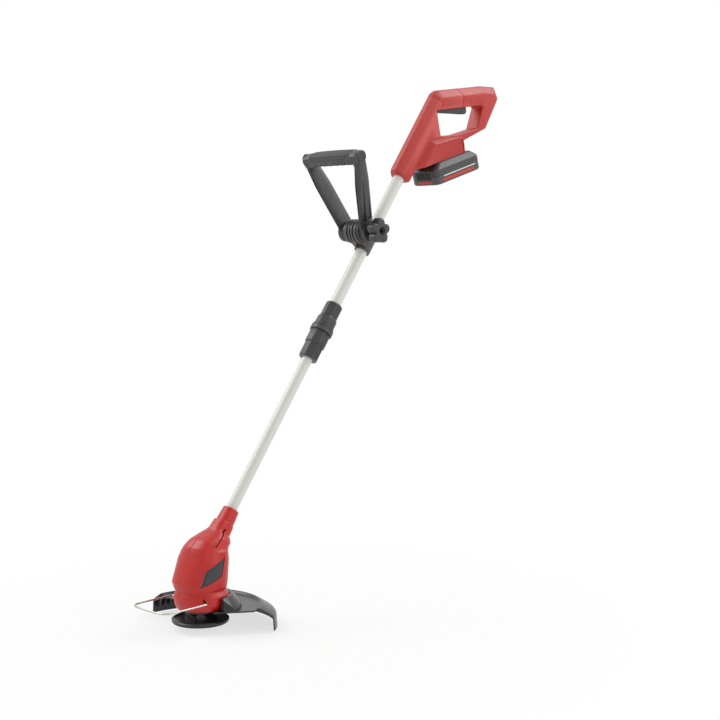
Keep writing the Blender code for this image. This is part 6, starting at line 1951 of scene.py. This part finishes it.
@dataclass
class Battery:
    """The slide-on battery: case halves with rails, trim strips, latch and a bare label area."""

    length: float = 0.158
    half: float = 0.038
    height: float = 0.046
    split: float = 0.019
    corner: float = 13 * MM
    drop: float = 12 * MM
    wall: float = 2.2 * MM
    latch_half: float = 0.023
    latch_low: float = 11.5 * MM
    latch_high: float = 31.5 * MM
    trim: float = 1.5 * MM

    def outline(self) -> list[Pair]:
        """The case's plan before its corners are rounded, anticlockwise."""
        return [(-self.half, 0.0), (self.half, 0.0), (self.half, self.length), (-self.half, self.length)]

    def latch_opening(self) -> Mesh:
        """The hole in the front wall for the latch."""
        return box(span(0.0, self.latch_half), (-0.01, self.wall + 2 * MM), (self.latch_low, self.latch_high))

    def label(self, side: Side, deep: float, grow: float) -> Mesh:
        """The bare label field on one flank.

        Args:
            side: Which flank.
            deep: How far into the flank it reaches.
            grow: How much larger than the field it is drawn.

        Returns:
            Its mesh.
        """
        corners = [(0.021, 0.0135), (self.length - 0.016, 0.0135), (self.length - 0.014, 0.0300), (0.024, 0.0300)]
        levels = [(side.value * (self.half - deep), 0, -grow),
                  (side.value * (self.half - 0.05 * MM + grow * 4), 0, -grow)]
        return plate(corners, levels, View.SIDE, corner=2.2 * MM)

    def build_lower(self) -> None:
        """Makes the lower case."""
        outline, foot = self.outline(), 5 * MM
        levels = [(foot * (1 - sin(radians(a))), 0, foot * (1 - cos(radians(a)))) for a in (90, 65, 40, 20, 0)]
        case = plate(outline, [*levels, (self.split - 0.5 * MM, 0, 0), (self.split, 0, 0.4 * MM)], View.PLAN,
                     corner=self.corner)
        room = plate(outline, [(self.wall, 0, self.wall + 2 * MM), (5 * MM, 0, self.wall),
                               (self.split + 0.01, 0, self.wall)], View.PLAN, corner=self.corner)
        cuts = [room, self.latch_opening(), box((-0.019, 0.019), (-0.01, self.trim), (4.2 * MM, 9.2 * MM))]
        for side in Side:
            reach = side.reach(self.half - self.trim, self.half + 0.01)
            cuts += [box(reach, (0.020, self.length - 0.024), (5 * MM, 11.5 * MM)),
                     self.label(side, 0.6 * MM, 0.25 * MM)]
        dress("battery_case_lower", case, Finish.CHARCOAL_NYLON, "battery", "black_housing", cuts=cuts,
              bevel_mm=0.5, bevel_angle=40, segments=2, place=BATTERY, crease=35)

    def build_upper(self) -> None:
        """Makes the upper case with its rails."""
        outline, slopes = self.outline(), [0.022, 0.010, 0.012, 0.010]
        low, shoulder, top = self.split + 0.3 * MM, self.height - self.drop, self.height
        levels = [(low, 0, 0.4 * MM), (low + 0.5 * MM, 0, 0)]
        levels += [(shoulder + 3 * MM * (k / 2 - 1), 3 * MM * (k / 2) ** 2 / (4 * self.drop), 0)
                   for k in range(5)]
        levels += [(top - 2 * MM * (1 - sin(radians(a))), 1 - 2 * MM * (1 - sin(radians(a))) / self.drop,
                    1.6 * MM * (1 - cos(radians(a)))) for a in (0, 30, 60, 90)]
        case = plate(outline, levels, View.PLAN, slopes, corner=self.corner)
        share = 1 - self.wall / self.drop
        room = plate(outline, [(self.split - 0.01, 0, self.wall), (shoulder, 0, self.wall),
                               (top - self.wall, share, self.wall)], View.PLAN, slopes, corner=self.corner)
        stem, flange, stem_top = 18.5 * MM, 23.5 * MM, top + 4.3 * MM
        below, crest = top - 1 * MM, stem_top + 4.8 * MM
        rail = [(-stem, below), (stem, below), (stem, stem_top), (flange, stem_top),
                (flange, crest), (-flange, crest), (-flange, stem_top), (-stem, stem_top)]
        rail = loft([[Vector((x, u, v)) for x, v in rail] for u in (0.030, 0.098)])
        slots = [box((x - 1.4 * MM, x + 1.4 * MM), (0.077, 0.108), (top + 1 * MM, stem_top + 0.015))
                 for x in (-0.0115, 0.0115)]
        cuts = [room, self.latch_opening(), *slots, *(self.label(side, 0.6 * MM, 0.25 * MM) for side in Side)]
        dress("battery_case_upper", case, Finish.CHARCOAL_NYLON, "battery", "black_housing", joins=[rail],
              cuts=cuts, bevel_mm=0.5, bevel_angle=40, segments=2, place=BATTERY, crease=30)

    def build_labels(self) -> None:
        """Makes the bare label on each flank and the plain pale line along its foot."""
        for side in Side:
            make(f"battery_label_{side.label}", self.label(side, 0.55 * MM, 0.0), Finish.BADGE_SATIN, "battery",
                 recipe=Recipe(bevel_mm=0.2, bevel_angle=40, segments=2, place=BATTERY))
            reach = side.reach(self.half - 0.3 * MM, self.half)
            line = box(reach, (0.024, self.length - 0.019), (0.0152, 0.0176))
            make(f"battery_line_{side.label}", line, Finish.PALE_INK, "battery",
                 recipe=Recipe(place=BATTERY))

    def build_latch(self) -> None:
        """Makes the ribbed latch."""
        gap, half, low, high = 0.3 * MM, self.latch_half, self.latch_low, self.latch_high
        button = box((-half + gap, half - gap), (0.0, 8 * MM), (low + gap, high - gap))
        flange = box((-half - 2 * MM, half + 2 * MM), (self.wall + gap, 6 * MM), (low - 2 * MM, high + 2 * MM))
        cuts = []
        pitch = (half * 2 - 4 * MM) / 9
        for index in range(9):
            across = span((index - 4) * pitch, pitch * 0.28)
            cuts.append(box(across, (-2 * MM, 2.2 * MM), (low + 2 * MM, high - 2 * MM)))
        dress("latch_button", button, Finish.CHARCOAL_NYLON, "latch", "black_housing", joins=[flange],
              cuts=cuts, bevel_mm=0.3, bevel_angle=35, segments=2, place=BATTERY, crease=35)

    def build_trim(self) -> None:
        """Makes the red strips."""
        gap = 0.3 * MM
        for side in Side:
            reach = side.reach(self.half - self.trim + gap, self.half)
            strip = box(reach, (0.020 + gap, self.length - 0.024 - gap), (5 * MM + gap, 11.5 * MM - gap))
            dress("side_trim_" + side.label, strip, Finish.RED_ABS, "battery", "red_trim", bevel_mm=0.4,
                  bevel_angle=40, segments=2, place=BATTERY, crease=40)
        front = 0.019
        ring = []
        pitch = (front - gap) * 2 / 9
        for index in range(9):
            x = -front + gap + pitch * index
            for share, deep in ((0.0, 0.7), (0.08, 0.3), (0.2, 0.0), (0.7, 0.0), (0.84, 0.3), (0.92, 0.7)):
                ring.append((x + pitch * share, deep * MM))
        ring += [(front - gap, self.trim - gap), (-front + gap, self.trim - gap)]
        strip = loft([[Vector((x, u, v)) for x, u in ring] for v in (4.2 * MM + gap, 9.2 * MM - gap)])
        dress("front_trim", strip, Finish.RED_ABS, "battery", "red_trim", place=BATTERY, crease=40)

    def build(self) -> None:
        """Makes the battery's pieces."""
        self.build_lower()
        self.build_upper()
        self.build_labels()
        self.build_latch()
        self.build_trim()


@dataclass
class Internals:
    """Inner pieces that keep the solids' own shape and get their real finish."""

    finishes: dict[Finish, str] = field(default_factory=lambda: {
        Finish.ZINC: "motor_can motor_mount motor_shaft trigger_pin",
        Finish.BLACK_PVC: "motor_end_cap coiled_lead handle_lead switch_body terminal_block lock_collet",
        Finish.BRASS: "terminal_blade_left terminal_blade_right knob_nut",
        Finish.SPRING_STEEL: "trigger_spring",
        Finish.BOARD: "control_board battery_board",
        Finish.CELL_SLEEVE: "cell_pack",
    })

    def build(self, nodes: dict[str, bpy.types.Object]) -> None:
        """Dresses the kept solids.

        Args:
            nodes: The frame's solids by name.
        """
        for name, finish in [(name, finish) for finish, names in self.finishes.items() for name in names.split()]:
            solid = nodes[name]
            if not solid.material_slots:
                solid.data.materials.append(None)
            for slot in solid.material_slots:
                slot.material = PAINT.get(finish)
            log.info("%s keeps its shape, finish %s", name, finish.name)


@dataclass
class Studio:
    """A pale floor, soft lamps, a white backdrop and the camera."""

    eye: Vector = field(default_factory=lambda: Vector((1.921, -1.599, 0.723)))
    aim: Vector = field(default_factory=lambda: Vector((0.197, 0.237, 0.511)))
    lens: float = 66.0
    floor_z: float = -0.002
    # Where the floor starts to glow and where it is plain white, from the tool, and its least share of white
    glow: Pair = (0.12, 0.9)
    least: float = 0.70
    sky: float = 0.48
    # Each lamp's name, place, side and power
    lamps: Sequence[tuple[str, Level, float, float]] = (
        ("key", (1.2, 2.6, 2.9), 1.8, 46.0), ("fill", (3.2, 1.0, 1.5), 2.0, 15.0),
        ("rim", (-1.7, -0.9, 2.5), 1.9, 44.0))

    def build_floor(self) -> None:
        """Makes the floor."""
        mesh = bmesh.new()
        bmesh.ops.create_grid(mesh, x_segments=1, y_segments=1, size=12.0)
        floor = to_object("studio_floor", mesh)
        floor.location.z = self.floor_z
        material, tree, out, place = new_tree("pale_floor")
        grain = add_node(tree, "TexNoise", {"Vector": place, "Scale": 40.0, "Detail": 2.0})
        colour = add_node(tree, "Mix", {
            0: grain.outputs[0], 6: linear("F2F2F1"), 7: linear("F6F6F5")}, data_type="RGBA")
        shader = add_node(tree, "BsdfPrincipled", {"Base Color": colour.outputs[2], "Roughness": 0.95})
        # The paper glows to plain white with distance from the tool, so no horizon shows
        away = add_node(tree, "VectorMath", {0: place, 1: (0.05, 0.15, 0.0)}, operation="DISTANCE")
        share = add_node(tree, "MapRange", {
            "Value": away.outputs["Value"], "From Min": self.glow[0], "From Max": self.glow[1],
            "To Min": self.least, "To Max": 1.0}, interpolation_type="SMOOTHSTEP")
        glow = add_node(tree, "Emission", {"Color": linear("FFFFFF"), "Strength": 1.0})
        mixed = add_node(tree, "MixShader", {0: share.outputs[0], 1: shader.outputs[0], 2: glow.outputs[0]})
        tree.links.new(mixed.outputs[0], out.inputs[0])
        floor.data.materials.append(material)

    def build_world(self) -> None:
        """Makes the world: soft grey light, white where the camera or a reflection sees it."""
        world = bpy.data.worlds.new("studio")
        world.use_nodes = True
        tree = world.node_tree
        tree.nodes.clear()
        path = add_node(tree, "LightPath").outputs
        seen = add_node(tree, "Math", {0: path["Is Camera Ray"], 1: path["Is Glossy Ray"]},
                        operation="ADD", use_clamp=True)
        light = add_node(tree, "Background", {"Color": linear("FFFFFF"), "Strength": self.sky})
        back = add_node(tree, "Background", {"Color": linear("FFFFFF"), "Strength": 1.0})
        mixed = add_node(tree, "MixShader", {0: seen.outputs[0], 1: light.outputs[0], 2: back.outputs[0]})
        out = add_node(tree, "OutputWorld", {"Surface": mixed.outputs[0]})
        log.info("world output %s", out.name)
        bpy.context.scene.world = world

    def lamp(self, name: str, place: Sequence[float], size: float, watts: float) -> None:
        """Adds a soft square lamp that looks at the tool.

        Args:
            name: Its name.
            place: Where it is.
            size: Its side.
            watts: Its power.
        """
        data = bpy.data.lights.new(name, "AREA")
        data.shape, data.size, data.energy = "SQUARE", size, watts
        made = bpy.data.objects.new(name, data)
        made.location = place
        made.rotation_euler = (self.aim - made.location).to_track_quat("-Z", "Y").to_euler()
        bpy.context.collection.objects.link(made)

    def build_camera(self) -> None:
        """Makes the camera at the photograph's angle."""
        data = bpy.data.cameras.new("camera")
        data.lens, data.sensor_width = self.lens, 36.0
        data.clip_start, data.clip_end = 0.05, 60.0
        camera = bpy.data.objects.new("camera", data)
        camera.location = self.eye
        camera.rotation_euler = (self.aim - self.eye).to_track_quat("-Z", "Y").to_euler()
        bpy.context.collection.objects.link(camera)
        bpy.context.scene.camera = camera

    def build(self) -> None:
        """Makes the whole studio."""
        self.build_floor()
        self.build_world()
        for row in self.lamps:
            self.lamp(*row)
        self.build_camera()
        bpy.context.scene.view_settings.view_transform = "Standard"


def tube_span(node: str) -> Pair:
    """How far along the pole a tube reaches, from the solid.

    Args:
        node: The tube's node.

    Returns:
        Its (low, high) in the pole's frame.
    """
    inverse = POLE.inverted()
    heights = [(inverse @ vertex.co).z for vertex in frame["nodes"][node].data.vertices]
    return min(heights), max(heights)


def main() -> None:
    """Builds the trimmer's pieces in order, then the studio."""
    logging.basicConfig(level=logging.INFO, format="%(name)s: %(message)s")
    MotorHead().build()
    Cutter().build()
    DebrisShield().build()
    PlantGuard().build()
    PoleTubes().build({node: tube_span(node) for node in ("lower_tube", "upper_tube")})
    PoleLock().build()
    FrontHandle().build()
    RearHandle().build()
    Battery().build()
    Internals().build(frame["nodes"])
    Studio().build()


if __name__ == "__main__":
    main()
